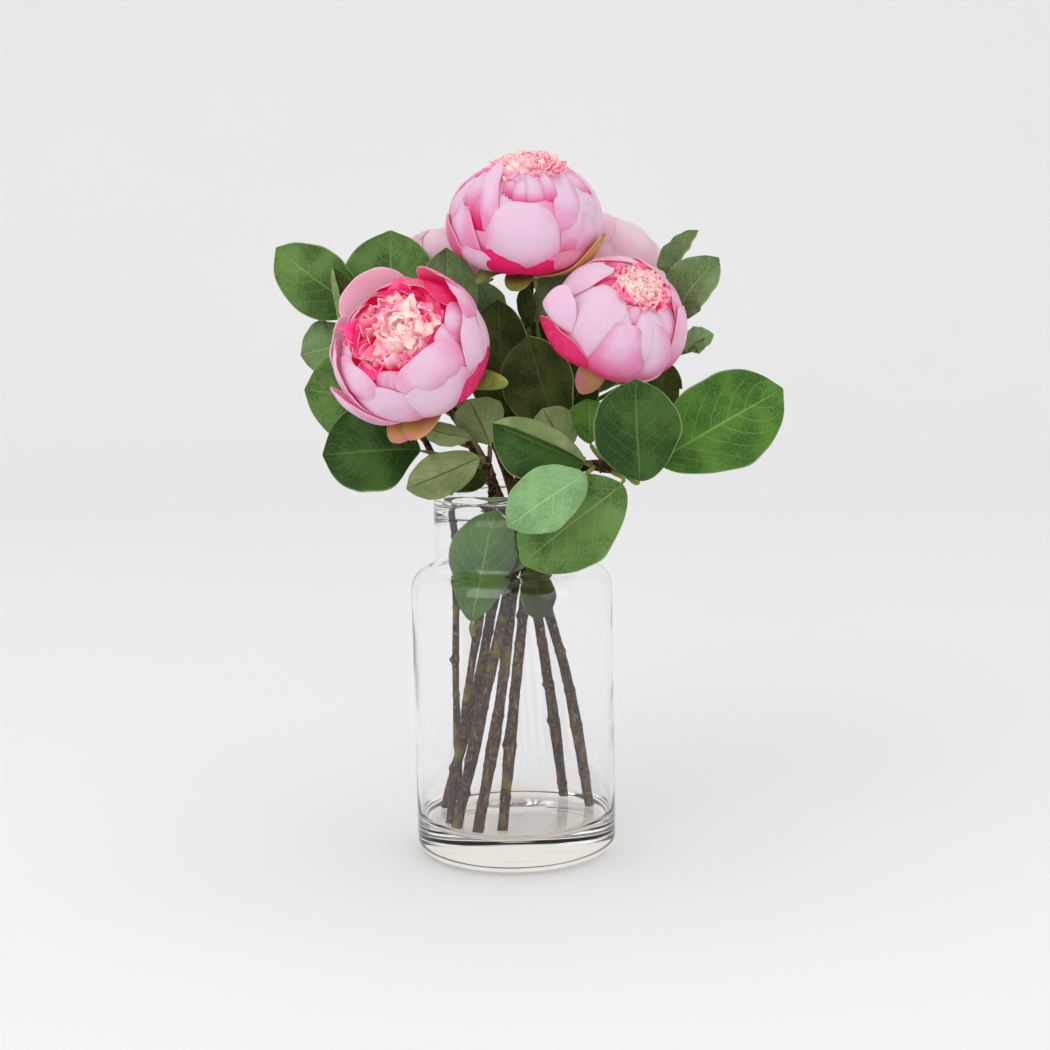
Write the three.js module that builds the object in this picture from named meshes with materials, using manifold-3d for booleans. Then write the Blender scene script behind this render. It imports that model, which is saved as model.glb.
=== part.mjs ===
// Peonies in a vase: five double peonies and three leafy stems in a clear glass bottle vase.
// Millimetres, +Z up. The origin is the centre of the vase's base, and the front looks along -Y.

import * as THREE from "three";
import { mergeVertices } from "three/addons/utils/BufferGeometryUtils.js";
import Module from "manifold-3d";

const wasm = await Module();
wasm.setup();

// ---------------------------------------------------------------- driving dimensions

const GAP = 0.3; // clearance between pieces that rest on each other

const VASE = {
  radius: 66,
  height: 242,
  wall: 2.8,
  floor: 22, // thickness of the glass under the stems
  floorBend: 8,
  shoulder: 176, // height where the straight body ends
  shoulderBend: 16, // radius of the shoulder's curve
  footBend: 10,
  neck: 50, // outer radius of the neck
  bead: 1.4, // how far the rim's bead stands out
  segments: 24,
};

const STEM = {
  sides: 6,
  rings: 16,
  knotEvery: 4, // rings from one knot to the next
  knotSwell: 1.22,
  neckLength: 22, // straight length under a bloom
};

const CALYX = { depth: 9, foot: 4.4, cup: 0.26, sepal: 1.1 };
const PETAL = { thickness: 1.1, root: 30, rootShare: 0.66, columns: 3, rows: 3 };
const INNER_PETAL = { ...PETAL, root: 88, rows: 2 }; // these show only from the waist up
const RUFFLE = { thickness: 1.0, turn: 137.5 };
const LEAF = { thickness: 1.0, stalk: 2.2, stalkHalf: 1.2, tipHalf: 0.8, wave: 1.4, columns: 4, rows: 5 };
const STALK_SHARE = 1 / LEAF.rows; // share of a leaf's rows that its stalk takes

// Each bloom: its middle, the way its heart faces, its radius, how flat it is and how high its core rises.
// Its petals are [turn, reach, half width, radius share, lip, lean]: the turn goes round from the front
// to the right, the reach climbs from the underside, in degrees, and the lip and the lean are in mm.
// Its sepals are [turn, reach, half width in mm, flare in mm].
const BLOOMS = {
  top: {
    centre: [14, 5, 415.5],
    axis: [0, -0.375, 0.927],
    radius: 49.5,
    squash: 0.83,
    crown: 0.84,
    petals: [
      [0, 132, 30, 1.0, 1, 2.2],
      [8, 142, 34, 0.93, 0, 0.5],
      [40, 128, 26, 1.0, 0, 2.2],
      [78, 132, 30, 1.0, -2, 2.2],
      [124, 128, 33, 1.0, -2, 2.2],
      [174, 126, 34, 1.0, -2, 2.2],
      [226, 128, 34, 1.0, -2, 2.2],
      [276, 118, 31, 1.0, -1, 2.2],
      [318, 118, 27, 1.0, 0, 2.2],
    ],
    inner: [
      [296, 156, 15, 1.02, 3, 0],
      [70, 150, 28, 0.85, 2, 2],
      [180, 148, 30, 0.85, 2, 2],
      [345, 152, 20, 0.85, 1, 2],
    ],
    heart: { count: 6, spread: 0.44, height: 8, width: 16 },
    sepals: [
      [350, 52, 9, 3],
      [62, 76, 9, 9],
      [188, 60, 9, 3],
      [305, 44, 7, 3],
    ],
  },
  left: {
    centre: [-61, -45, 338],
    axis: [-0.25, -0.85, 0.46],
    radius: 48,
    squash: 0.82,
    crown: 0.16,
    petals: [
      [0, 116, 30, 1.0, 1, 2.2],
      [50, 118, 30, 1.0, 2, 2.2],
      [100, 124, 33, 1.0, 2, 2.2],
      [146, 120, 28, 1.0, 1, 2.2],
      [192, 128, 31, 1.0, 3, 2.2],
      [228, 118, 27, 1.0, 2, 2.2],
      [258, 120, 27, 1.0, 3, 2.2],
      [300, 106, 33, 1.0, 7, 2.2],
    ],
    inner: [
      [10, 134, 27, 0.85, -2, 2],
      [70, 130, 27, 0.85, 0, 2],
      [124, 132, 25, 0.85, 0, 2],
      [244, 130, 24, 0.85, -1, 2],
      [320, 128, 28, 0.85, 0, 2],
    ],
    heart: { count: 9, spread: 0.58, height: 22, width: 20 },
    sepals: [
      [40, 76, 8, 15],
      [352, 72, 13, 9],
      [320, 68, 12, 12],
      [190, 60, 9, 3],
    ],
  },
  right: {
    centre: [71.5, -30, 350],
    axis: [0.4, -0.63, 0.66],
    radius: 42,
    squash: 0.9,
    crown: 0.84,
    petals: [
      [330, 148, 34, 0.94, 0, 1],
      [18, 134, 29, 1.0, 1, 2.2],
      [44, 130, 28, 1.0, -1, 2.2],
      [78, 140, 25, 1.0, 0, 2.2],
      [122, 130, 32, 1.0, 1, 2.2],
      [172, 132, 32, 1.0, 1, 2.2],
      [228, 130, 34, 1.0, 1, 2.2],
      [288, 114, 27, 1.0, 20, 2.2],
      [320, 104, 28, 1.0, 3, 2.2],
    ],
    inner: [
      [120, 150, 29, 0.85, 1, 2],
      [220, 150, 29, 0.85, 2, 2],
      [300, 150, 26, 0.85, 1, 2],
    ],
    heart: { count: 5, spread: 0.4, height: 8, width: 15 },
    sepals: [
      [4, 35, 9, 10],
      [60, 54, 9, 3],
      [160, 60, 9, 3],
      [265, 60, 8, 4],
    ],
  },
  back_right: {
    centre: [64, 76, 377],
    axis: [0.35, 0.35, 0.87],
    radius: 48,
    squash: 0.88,
    crown: 0.84,
    petals: [
      [10, 132, 36, 1.0, 1, 2.2],
      [62, 130, 36, 1.0, 1, 2.2],
      [114, 134, 36, 1.0, 2, 2.2],
      [164, 130, 36, 1.0, 2, 2.2],
      [216, 132, 36, 1.0, 2, 2.2],
      [266, 130, 36, 1.0, 2, 2.2],
      [318, 132, 36, 1.0, 2, 2.2],
    ],
    inner: [
      [30, 150, 31, 0.85, 1, 2],
      [122, 152, 31, 0.85, 1, 2],
      [212, 150, 31, 0.85, 1, 2],
      [302, 152, 31, 0.85, 1, 2],
    ],
    heart: { count: 4, spread: 0.4, height: 8, width: 16 },
    sepals: [
      [20, 58, 9, 3],
      [110, 60, 9, 4],
      [205, 56, 9, 3],
      [290, 60, 9, 3],
    ],
  },
  back_left: {
    centre: [-45, 60, 384],
    axis: [-0.25, 0.15, 0.95],
    radius: 30,
    squash: 1.0,
    crown: 0.8,
    petals: [
      [15, 142, 40, 1.0, 1, 2.2],
      [88, 138, 42, 1.0, 2, 2.2],
      [160, 140, 42, 1.0, 2, 2.2],
      [232, 138, 42, 1.0, 3, 2.2],
      [304, 148, 40, 1.0, 3, 2.2],
    ],
    inner: [
      [45, 158, 30, 0.85, 1, 2],
      [165, 158, 30, 0.85, 1, 2],
      [285, 158, 30, 0.85, 1, 2],
    ],
    heart: { count: 2, spread: 0.3, height: 6, width: 11 },
    sepals: [
      [0, 70, 7, 3],
      [90, 66, 7, 3],
      [185, 70, 7, 3],
      [275, 66, 7, 3],
    ],
  },
};

// Each stem: its radius and its route from the vase's floor. A flower stem ends under its bloom.
const STEMS = {
  stem_top: {
    radius: 3.6,
    bloom: "top",
    route: [[-25, -47, 22.3], [-8, -20, 110], [2, 13, 190], [8, 16, 270]],
  },
  stem_right: {
    radius: 3.6,
    bloom: "right",
    route: [[-39, -35, 22.3], [-18, -22, 110], [2, 2, 190], [18, 12, 255]],
  },
  stem_back_right: {
    radius: 3.5,
    bloom: "back_right",
    route: [[-9, -40, 22.3], [1, -14, 110], [12, 18, 190], [24, 26, 262]],
  },
  stem_left: {
    radius: 3.5,
    bloom: "left",
    route: [[33, 42, 22.3], [23, 20, 110], [10, -5, 190], [-14, 10, 250]],
  },
  stem_back_left: {
    radius: 3.5,
    bloom: "back_left",
    route: [[50, 14, 22.3], [36, 16, 110], [14, 28, 190], [-6, 34, 262]],
  },
  leaf_stem_right: {
    radius: 3.4,
    route: [[-49, 18, 22.3], [-24, 11, 110], [-5, -12, 195], [23, -36, 246], [49, -52, 261], [74, -54, 257]],
  },
  leaf_stem_front: {
    radius: 2.6,
    route: [[-44, -20, 22.3], [-30, -12, 110], [-16, -15, 190], [-11, -28, 242], [-14, -42, 266]],
  },
  leaf_stem_left: {
    radius: 2.3,
    route: [[-37, -4, 22.3], [-38, -8, 110], [-36, -10, 190], [-39, -10, 238], [-62, -4, 292], [-86, 12, 346]],
  },
};

// Each leaf: its stem and how far along it the stalk sits (0 to 1), the blade's foot and tip, its width,
// the way its upper face looks, its arch in mm, the fold along its midrib in degrees, and how many degrees
// its left and right halves roll up by their margins.
const LEAVES = {
  left_1: ["leaf_stem_left", 0.97, [-93, 18, 356], [-147, 4, 400], 46, [-0.3, -1, 0.1], 5, 8, [10, 20]],
  left_2: ["leaf_stem_left", 0.9, [-76, 30, 340], [-75, 34, 410], 62, [0, -1, 0.1], 4, 6, [16, 16]],
  left_3: ["leaf_stem_left", 0.92, [-102, -1, 336], [-110, -7, 387], 24, [0.5, -0.8, 0], 2, 20, [90, 10]],
  left_4: ["leaf_stem_left", 0.87, [-96, 18, 338], [-135, 16, 330], 38, [0, -1, 0.3], 3, 6, [10, 10]],
  left_5: ["leaf_stem_left", 0.8, [-80, 4, 302], [-131, -5, 309], 56, [-0.2, -1, 0], 3, -8, [-10, -10]],
  left_6: ["leaf_stem_front", 0.92, [-56, -26, 270], [-118, -32, 269], 62, [-0.1, -1, 0.45], 4, 8, [10, 16]],
  left_7: ["stem_left", 0.7, [-36, 20, 330], [-38, 14, 398], 42, [0, -1, 0.3], 6, 14, [16, 16]],
  mid_1: ["stem_top", 0.65, [0, 12, 284], [-5, 9, 364], 52, [-0.3, -1, 0.1], 4, 12, [8, 20]],
  mid_2: ["stem_top", 0.7, [-6, 26, 340], [-18, 20, 376], 26, [0, -1, 0.2], 2, 8, [6, 6]],
  mid_3: ["stem_right", 0.62, [32, -10, 280], [14, -12, 341], 52, [-0.3, -1, 0.1], 4, 14, [10, 20]],
  mid_4: ["leaf_stem_front", 0.99, [-18, -50, 267], [-64, -54, 249], 29, [0, 1, -0.2], 3, 6, [14, 14]],
  mid_5: ["leaf_stem_front", 0.93, [-12, -34, 274], [-24, -38, 303], 34, [0.2, 1, -0.1], 3, 8, [20, 20]],
  mid_6: ["leaf_stem_front", 0.97, [-23, -42, 278], [-54, -46, 287], 16, [0, 1, -0.4], 3, 8, [16, 16]],
  mid_7: ["leaf_stem_front", 0.8, [-15, -28, 249], [-38, -26, 260], 28, [0, -1, 0.3], 2, 6, [8, 8]],
  front_1: ["leaf_stem_right", 0.83, [47, -61, 264], [-9, -66, 290], 50, [-0.1, -1, 0.1], 6, 10, [16, 110]],
  front_2: ["leaf_stem_right", 0.79, [38, -42, 270], [22, -36, 296], 34, [-0.1, 1, -0.1], 3, 8, [16, 16]],
  front_3: ["leaf_stem_right", 0.87, [52, -42, 274], [51, -30, 301], 26, [0, -1, 0.2], 3, 8, [10, 10]],
  front_4: ["leaf_stem_right", 1, [81, -61, 252], [79.5, -60, 315], 56, [-0.1, -1, 0.1], 4, 6, [18, 14]],
  front_5: ["leaf_stem_right", 0.98, [92, -50, 263], [173, -42, 306], 62, [0.1, -1, 0.2], 6, 8, [10, 14]],
  front_6: ["leaf_stem_right", 0.84, [47, -79, 259], [-1, -99, 230], 40, [-0.1, -1, 0.3], 3, 5, [12, 12]],
  front_7: ["leaf_stem_right", 0.93, [70, -66, 253], [7, -80, 206], 58, [0.1, -1, 0.3], 4, 6, [12, 4]],
  right_1: ["stem_back_right", 0.74, [104, 28, 366], [127, 25, 406], 26, [-0.8, -0.6, 0.3], 3, 26, [16, 16]],
  right_2: ["stem_back_right", 0.7, [104, 16, 345], [138, 4, 388], 36, [-0.3, -0.9, 0.4], 4, 12, [12, 12]],
  right_3: ["stem_back_right", 0.66, [112, 6, 326], [134, 0, 339], 20, [0, -0.8, 0.6], 2, 10, [20, 20]],
  right_4: ["stem_right", 0.68, [98, 0, 290], [104, 0, 322], 24, [0, -1, 0.2], 2, 8, [10, 10]],
  right_5: ["stem_right", 0.72, [20, 12, 348], [46, 14, 384], 28, [-0.2, -1, 0.2], 3, 8, [10, 10]],
  right_7: ["stem_top", 0.74, [15, 10, 346], [12, 8, 372], 13, [0, -1, 0], 1, 10, [8, 8]],
  vase_1: ["leaf_stem_front", 0.36, [-26, -22, 158], [-9, -33, 238], 46, [0.1, -1, 0], 4, -4, [-36, -36]],
  vase_2: ["leaf_stem_right", 0.37, [14, -16, 196], [18, -12, 156], 24, [0.2, -1, 0], 2, 8, [8, 8]],
  back_1: ["stem_back_left", 0.62, [-26, 56, 276], [-74, 104, 298], 46, [-0.2, 0.3, 1], 6, 8, [10, 14]],
  back_2: ["stem_back_right", 0.56, [36, 54, 268], [60, 112, 280], 46, [0, 0.3, 1], 6, 8, [12, 10]],
  back_3: ["stem_back_left", 0.55, [2, 56, 262], [-8, 118, 262], 44, [0, 0.3, 1], 6, 8, [10, 12]],
  back_4: ["stem_back_right", 0.68, [52, 42, 296], [108, 64, 304], 44, [0.2, 0.1, 1], 6, 8, [12, 12]],
  back_5: ["stem_left", 0.66, [-46, 24, 274], [-104, 46, 282], 44, [-0.2, 0.1, 1], 6, 8, [10, 12]],
  back_6: ["stem_right", 0.64, [44, 22, 274], [104, 28, 272], 42, [0.2, 0, 1], 6, 8, [12, 10]],
  back_7: ["stem_back_left", 0.74, [-38, 68, 314], [-66, 116, 340], 42, [-0.4, 0.6, 0.7], 5, 8, [12, 12]],
  back_8: ["stem_back_right", 0.76, [54, 62, 308], [94, 112, 322], 44, [0.4, 0.4, 0.8], 5, 8, [12, 12]],
  back_9: ["stem_top", 0.62, [14, 46, 286], [22, 52, 352], 44, [-0.1, -1, 0.1], 4, 8, [10, 14]],
  back_10: ["leaf_stem_left", 0.84, [-84, 22, 312], [-126, 60, 322], 40, [-0.5, 0.3, 0.8], 5, 8, [12, 12]],
  back_11: ["stem_back_right", 0.54, [26, 56, 256], [30, 92, 214], 42, [0, 1, 0.5], 5, 8, [12, 12]],
  mid_8: ["stem_right", 0.56, [30, 20, 272], [50, 22, 326], 38, [0, -1, 0.1], 4, 8, [10, 12]],
};

// ---------------------------------------------------------------- materials

function finish(colour, roughness, extra = {}) {
  return new THREE.MeshStandardMaterial({ color: colour, roughness, metalness: 0, ...extra });
}

const glass = finish(0xf2f6f6, 0.04, { transparent: true, opacity: 0.35 });
const bark = finish(0x5a4336, 0.85);
const petalPink = finish(0xeba6c3, 0.6);
const petalPale = finish(0xf1c4d3, 0.6);
const sepalGreen = finish(0x9aa23c, 0.6);
const leafGreen = finish(0x3f7a3c, 0.6);

// ---------------------------------------------------------------- shared geometry

const radians = THREE.MathUtils.degToRad;
const smooth = THREE.MathUtils.smoothstep;

function vector([x, y, z]) {
  return new THREE.Vector3(x, y, z);
}

// An even draw between 0 and 1 that is the same every time for the same number.
function draw(number) {
  const wave = Math.sin(number * 12.9898) * 43758.5453;
  return wave - Math.floor(wave);
}

// A thin closed blade. place(u, v, side) gives a point at u (-1 to 1) across and v (0 to 1) along, on the
// front (side 1) or the back (side -1). Both faces are split into the same triangles.
function blade(columns, rows, place) {
  const sheet = new THREE.PlaneGeometry(2, 1, columns, rows);
  const grid = sheet.attributes.position;
  const positions = [];
  for (const side of [1, -1]) {
    for (let i = 0; i < grid.count; i++) {
      positions.push(...place(grid.getX(i), grid.getY(i) + 0.5, side).toArray());
    }
  }
  const faces = Array.from(sheet.index.array);
  const mirrored = faces.map((i) => i + grid.count).reverse();
  const corner = rows * (columns + 1);
  const rim = [];
  for (let r = 0; r < rows; r++) rim.push(r * (columns + 1));
  for (let c = 0; c < columns; c++) rim.push(corner + c);
  for (let r = rows; r > 0; r--) rim.push(r * (columns + 1) + columns);
  for (let c = columns; c > 0; c--) rim.push(c);
  const edge = rim.flatMap((a, i) => {
    const b = rim[(i + 1) % rim.length];
    return [b, a, a + grid.count, b, a + grid.count, b + grid.count];
  });
  const geometry = new THREE.BufferGeometry();
  geometry.setAttribute("position", new THREE.Float32BufferAttribute(positions, 3));
  geometry.setIndex([...faces, ...mirrored, ...edge]);
  return geometry;
}

// A closed turned solid whose profile of [radius, height] pairs starts and ends on the axis, turned to +Z.
function turned(profile, segments) {
  const points = profile.map(([radius, height]) => new THREE.Vector2(radius, height));
  return new THREE.LatheGeometry(points, segments).rotateX(Math.PI / 2);
}

function solid(geometry) {
  const bare = geometry.clone();
  bare.deleteAttribute("normal");
  bare.deleteAttribute("uv");
  const merged = mergeVertices(bare, 1e-3);
  const vertProperties = merged.attributes.position.array;
  const triVerts = new Uint32Array(merged.index.array);
  return new wasm.Manifold(new wasm.Mesh({ numProp: 3, vertProperties, triVerts }));
}

// Fuses closed geometries into one body. Sealed hollows are filled and loose scraps are left out.
function fuse(geometries) {
  const joined = wasm.Manifold.union(geometries.map(solid));
  const bodies = joined.decompose().sort((a, b) => b.volume() - a.volume());
  const { vertProperties, triVerts } = bodies[0].getMesh();
  const geometry = new THREE.BufferGeometry();
  geometry.setAttribute("position", new THREE.Float32BufferAttribute(vertProperties, 3));
  geometry.setIndex(Array.from(triVerts));
  return geometry;
}

const bouquet = new THREE.Group();

function addPiece(parent, name, geometry, material) {
  geometry.computeVertexNormals();
  const piece = new THREE.Mesh(geometry, material);
  piece.name = name;
  parent.add(piece);
}

// ---------------------------------------------------------------- vase

// Points on a bend from one angle to another, in degrees, round a middle given as [radius, height].
function bend([radius, height], size, from, to, steps) {
  return Array.from({ length: steps + 1 }, (_, i) => {
    const angle = radians(from + ((to - from) * i) / steps);
    return [radius + size * Math.cos(angle), height + size * Math.sin(angle)];
  });
}

function vaseGeometry() {
  const { radius, height, wall, floor, floorBend, shoulder, shoulderBend, footBend, neck, bead } = VASE;
  const inside = neck - wall;
  const middle = radius - shoulderBend;
  const corner = radius - wall - floorBend;
  const outer = [
    [0, 0],
    ...bend([radius - footBend, footBend], footBend, -90, 0, 3),
    ...bend([middle, shoulder], shoulderBend, 0, 78, 4),
    [neck, shoulder + shoulderBend + 3],
    [neck, height - 7],
  ];
  const rim = bend([neck - wall / 2, height - 3], wall / 2 + bead, -30, 150, 3);
  const inner = [
    [inside, height - 6],
    [inside, shoulder + shoulderBend + 1],
    ...bend([middle, shoulder], shoulderBend - wall, 84, 0, 3),
    ...bend([corner, floor + floorBend], floorBend, 0, -90, 2),
    [0, floor],
  ];
  return turned([...outer, ...rim, ...inner], VASE.segments);
}

addPiece(bouquet, "vase", vaseGeometry(), glass);

// ---------------------------------------------------------------- blooms

// A bloom's own frame: its heart faces +Z, its front is -Y and its right is +X.
function bloomMatrix({ centre, axis }) {
  const up = vector(axis).normalize();
  const back = new THREE.Vector3(0, 1, 0).projectOnPlane(up).normalize();
  const right = new THREE.Vector3().crossVectors(back, up);
  return new THREE.Matrix4().makeBasis(right, back, up).setPosition(vector(centre));
}

const CORE = 0.77; // radius of a bloom's core, as a share of the bloom's
const CORE_CUT = 0.94; // how far down its underside is cut flat
const CORE_RINGS = 5;

function undersideDepth({ radius, squash }) {
  return radius * CORE * squash * CORE_CUT;
}

// The core that the petals grow from: round below, cut flat where the calyx sits, and lowered above.
function coreGeometry(bloom) {
  const size = bloom.radius * CORE;
  const start = radians(180) - Math.acos(-CORE_CUT);
  const profile = [[0, -undersideDepth(bloom)]];
  for (let i = 0; i <= CORE_RINGS; i++) {
    const angle = start + ((Math.PI - start) * i) / CORE_RINGS;
    const rise = -Math.cos(angle) * (angle > Math.PI / 2 ? bloom.crown / CORE : 1);
    profile.push([i === CORE_RINGS ? 0 : size * Math.sin(angle), size * bloom.squash * rise]);
  }
  return turned(profile, 2 * CORE_RINGS);
}

// A petal lies on its bloom like a piece of peel: its root is sunk in the core near the underside, and it
// climbs to its reach. One margin lies further out than the other, so that neighbours overlap.
function petalGeometry(bloom, kind, [turn, reach, half, share, lip, lean]) {
  const { columns, rows, thickness, root, rootShare } = kind;
  const out = radians(turn);
  const across = new THREE.Vector3(Math.cos(out), Math.sin(out), 0);
  return blade(columns, rows, (u, v, side) => {
    const climb = radians(root + (reach - root) * v * (1 - 0.2 * u * u * v));
    const swing = radians(u * half) * Math.sin(Math.PI * (0.15 + 0.65 * v));
    const along = new THREE.Vector3(
      Math.sin(climb) * Math.sin(out),
      -Math.sin(climb) * Math.cos(out),
      -Math.cos(climb),
    );
    const swell = rootShare + (1 - rootShare) * smooth(v, 0, 0.35);
    const size = bloom.radius * share * swell + lip * v ** 3 + lean * u + (side * thickness) / 2;
    const point = along.multiplyScalar(Math.cos(swing)).addScaledVector(across, Math.sin(swing));
    point.multiplyScalar(size);
    point.z *= bloom.squash;
    return point;
  });
}

// The ruffled petals of the heart stand on the core in a spiral, leaning out more towards its edge.
function ruffleGeometry(bloom, index) {
  const { count, spread, height, width } = bloom.heart;
  const share = Math.sqrt((index + 0.5) / count);
  const turn = radians(RUFFLE.turn * index);
  const out = new THREE.Vector3(Math.sin(turn), -Math.cos(turn), 0);
  const facing = turn + radians(50 * (draw(index + 1) - 0.5));
  const across = new THREE.Vector3(Math.cos(facing), Math.sin(facing), 0);
  const outward = new THREE.Vector3(Math.sin(facing), -Math.cos(facing), 0);
  const reach = bloom.radius * spread * share;
  const top = bloom.radius * bloom.squash * bloom.crown * Math.sqrt(1 - (reach / (bloom.radius * CORE)) ** 2);
  const foot = out.multiplyScalar(reach).setZ(top - 4);
  const tall = height * (0.85 + 0.3 * draw(index + 7)) + 4;
  return blade(2, 2, (u, v, side) => {
    const lean = radians(12 + 34 * share * v);
    const wide = (width / 2) * (0.5 + 0.5 * v);
    return foot
      .clone()
      .addScaledVector(across, u * wide)
      .addScaledVector(outward, tall * v * Math.sin(lean) - 0.2 * width * u * u + (side * RUFFLE.thickness) / 2)
      .setZ(foot.z + tall * v * Math.cos(lean) * (1 - 0.15 * u * u));
  });
}

// The calyx: a small cup under the bloom with its sepals lying back against the petals.
function calyxGeometry(bloom) {
  const top = -undersideDepth(bloom) - GAP;
  const cup = bloom.radius * CALYX.cup;
  const profile = [
    [0, top - CALYX.depth],
    [CALYX.foot, top - CALYX.depth],
    [cup - 1, top - 3],
    [cup, top],
    [0, top],
  ];
  const sepals = bloom.sepals.map(([turn, reach, half, flare]) => {
    const size = bloom.radius * 1.09 + flare;
    const end = radians(reach);
    const route = new THREE.CatmullRomCurve3(
      [
        new THREE.Vector3(0.3 * cup, 0, top - 4.5),
        new THREE.Vector3(1.15 * cup, 0, top - 2.5),
        new THREE.Vector3(bloom.radius * 0.58, 0, -bloom.radius * 0.72 * bloom.squash),
        new THREE.Vector3(size * Math.sin(end), 0, -size * Math.cos(end) * bloom.squash),
      ],
      false,
      "catmullrom",
    );
    return blade(2, 3, (u, v, side) => {
      const place = route.getPoint(v);
      const way = route.getTangent(v);
      const wide = 1.2 + (half - 1.2) * Math.sin(Math.PI * (0.08 + 0.8 * v)) ** 1.2;
      place.addScaledVector(new THREE.Vector3(way.z, 0, -way.x), (side * CALYX.sepal) / 2);
      const angle = radians(turn) + (u * wide) / Math.max(place.x, 2 * wide);
      return new THREE.Vector3(place.x * Math.sin(angle), -place.x * Math.cos(angle), place.z);
    });
  });
  return fuse([turned(profile, 8), ...sepals]);
}

for (const [name, bloom] of Object.entries(BLOOMS)) {
  const head = new THREE.Group();
  head.applyMatrix4(bloomMatrix(bloom));
  bouquet.add(head);
  const petals = bloom.petals.map((petal) => petalGeometry(bloom, PETAL, petal));
  const inner = bloom.inner.map((petal) => petalGeometry(bloom, INNER_PETAL, petal));
  const ruffles = Array.from({ length: bloom.heart.count }, (_, i) => ruffleGeometry(bloom, i));
  const colour = name.startsWith("back") ? petalPale : petalPink;
  addPiece(head, `bloom_${name}`, fuse([coreGeometry(bloom), ...petals, ...inner, ...ruffles]), colour);
  addPiece(head, `calyx_${name}`, calyxGeometry(bloom), sepalGreen);
}

// ---------------------------------------------------------------- stems

function stemCurve({ route, bloom }) {
  const points = route.map(vector);
  if (bloom) {
    const head = BLOOMS[bloom];
    const axis = vector(head.axis).normalize();
    const end = vector(head.centre).addScaledVector(axis, -undersideDepth(head) - CALYX.depth - 2 * GAP);
    points.push(end.clone().addScaledVector(axis, -STEM.neckLength), end);
  }
  return new THREE.CatmullRomCurve3(points, false, "catmullrom");
}

// The stem's radius at a share of its route: straight lines between rings, with a swollen ring at each knot.
function stemRadius({ radius }, share) {
  const ring = share * STEM.rings;
  const swell = (i) => (i % STEM.knotEvery === STEM.knotEvery / 2 ? STEM.knotSwell : 1);
  const low = Math.floor(ring);
  return radius * THREE.MathUtils.lerp(swell(low), swell(low + 1), ring - low);
}

// A closed cylinder bent along the stem's curve.
function stemGeometry(stem, curve) {
  const frames = curve.computeFrenetFrames(STEM.rings);
  const geometry = new THREE.CylinderGeometry(1, 1, 1, STEM.sides, STEM.rings);
  const position = geometry.attributes.position;
  for (let i = 0; i < position.count; i++) {
    const share = 0.5 - position.getY(i);
    const ring = Math.round(share * STEM.rings);
    const size = stemRadius(stem, share);
    const point = curve
      .getPoint(share)
      .addScaledVector(frames.normals[ring], size * position.getX(i))
      .addScaledVector(frames.binormals[ring], size * position.getZ(i));
    position.setXYZ(i, point.x, point.y, Math.max(point.z, VASE.floor + GAP));
  }
  return geometry;
}

const stemCurves = {};
for (const [name, stem] of Object.entries(STEMS)) {
  stemCurves[name] = stemCurve(stem);
  addPiece(bouquet, name, stemGeometry(stem, stemCurves[name]), bark);
}

// ---------------------------------------------------------------- leaves

const FLAT = (1 + Math.cos(Math.PI / STEM.sides)) / 2; // mean distance of a stem's sides, as a share of its radius

// Where a leaf's stalk meets its stem: just clear of the bark, on the side that faces the blade.
function stalkSeat(name, share, foot) {
  const curve = stemCurves[name];
  const middle = curve.getPoint(share);
  const way = foot.clone().sub(middle).normalize();
  const run = way.dot(curve.getTangent(share));
  const outward = way.clone().projectOnPlane(curve.getTangent(share)).normalize();
  const corner = Math.hypot(LEAF.stalkHalf, LEAF.stalk / 2);
  return middle.addScaledVector(outward, stemRadius(STEMS[name], share) * FLAT + GAP + corner * Math.abs(run));
}

function leafGeometry(index, [stem, share, footPoint, tipPoint, width, facing, arch, fold, rolls]) {
  const foot = vector(footPoint);
  const tip = vector(tipPoint);
  const face = vector(facing).projectOnPlane(tip.clone().sub(foot)).normalize();
  const middle = foot.clone().lerp(tip, 0.5).addScaledVector(face, arch);
  const seat = stalkSeat(stem, share, foot);
  const route = new THREE.CatmullRomCurve3([seat, foot, middle, tip], false, "catmullrom");
  return blade(LEAF.columns, LEAF.rows, (u, v, side) => {
    const along = Math.max(0, (v - STALK_SHARE) / (1 - STALK_SHARE));
    const step = v < STALK_SHARE ? v / STALK_SHARE / 3 : (1 + 2 * along) / 3;
    const way = route.getTangent(step);
    const normal = face.clone().projectOnPlane(way).normalize();
    const across = new THREE.Vector3().crossVectors(way, normal);
    const spread = Math.sin(Math.PI * along ** 1.1) ** 0.75 * (width / 2);
    const half = Math.max(spread, v < STALK_SHARE ? LEAF.stalkHalf : LEAF.tipHalf);
    const start = radians(fold);
    const roll = radians(rolls[u < 0 ? 0 : 1]) * Math.abs(u) || 1e-6;
    const reach = (half * (Math.sin(start + roll) - Math.sin(start)) * Math.abs(u)) / roll;
    const rise = (half * (Math.cos(start) - Math.cos(start + roll)) * Math.abs(u)) / roll;
    const wave = LEAF.wave * u * u * Math.sin(Math.PI * along) * Math.sin(2 * Math.PI * (1.5 * along + draw(index)));
    const lean = (start + roll) * Math.sign(u);
    const thick = THREE.MathUtils.lerp(LEAF.stalk, LEAF.thickness, smooth(v, 0.5 * STALK_SHARE, 1.5 * STALK_SHARE));
    return route
      .getPoint(step)
      .addScaledVector(across, Math.sign(u) * reach - (side * thick * Math.sin(lean)) / 2)
      .addScaledVector(normal, rise + wave + (side * thick * Math.cos(lean)) / 2);
  });
}

Object.entries(LEAVES).forEach(([name, leaf], index) => {
  addPiece(bouquet, `leaf_${name}`, leafGeometry(index + 1, leaf), leafGreen);
});

export default bouquet;
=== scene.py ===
# Peonies in a vase: five double peonies and three leafy twigs in a clear glass bottle vase.
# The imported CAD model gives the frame. Everything is in metres, +Z up, and the front faces -Y.
import math

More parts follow.
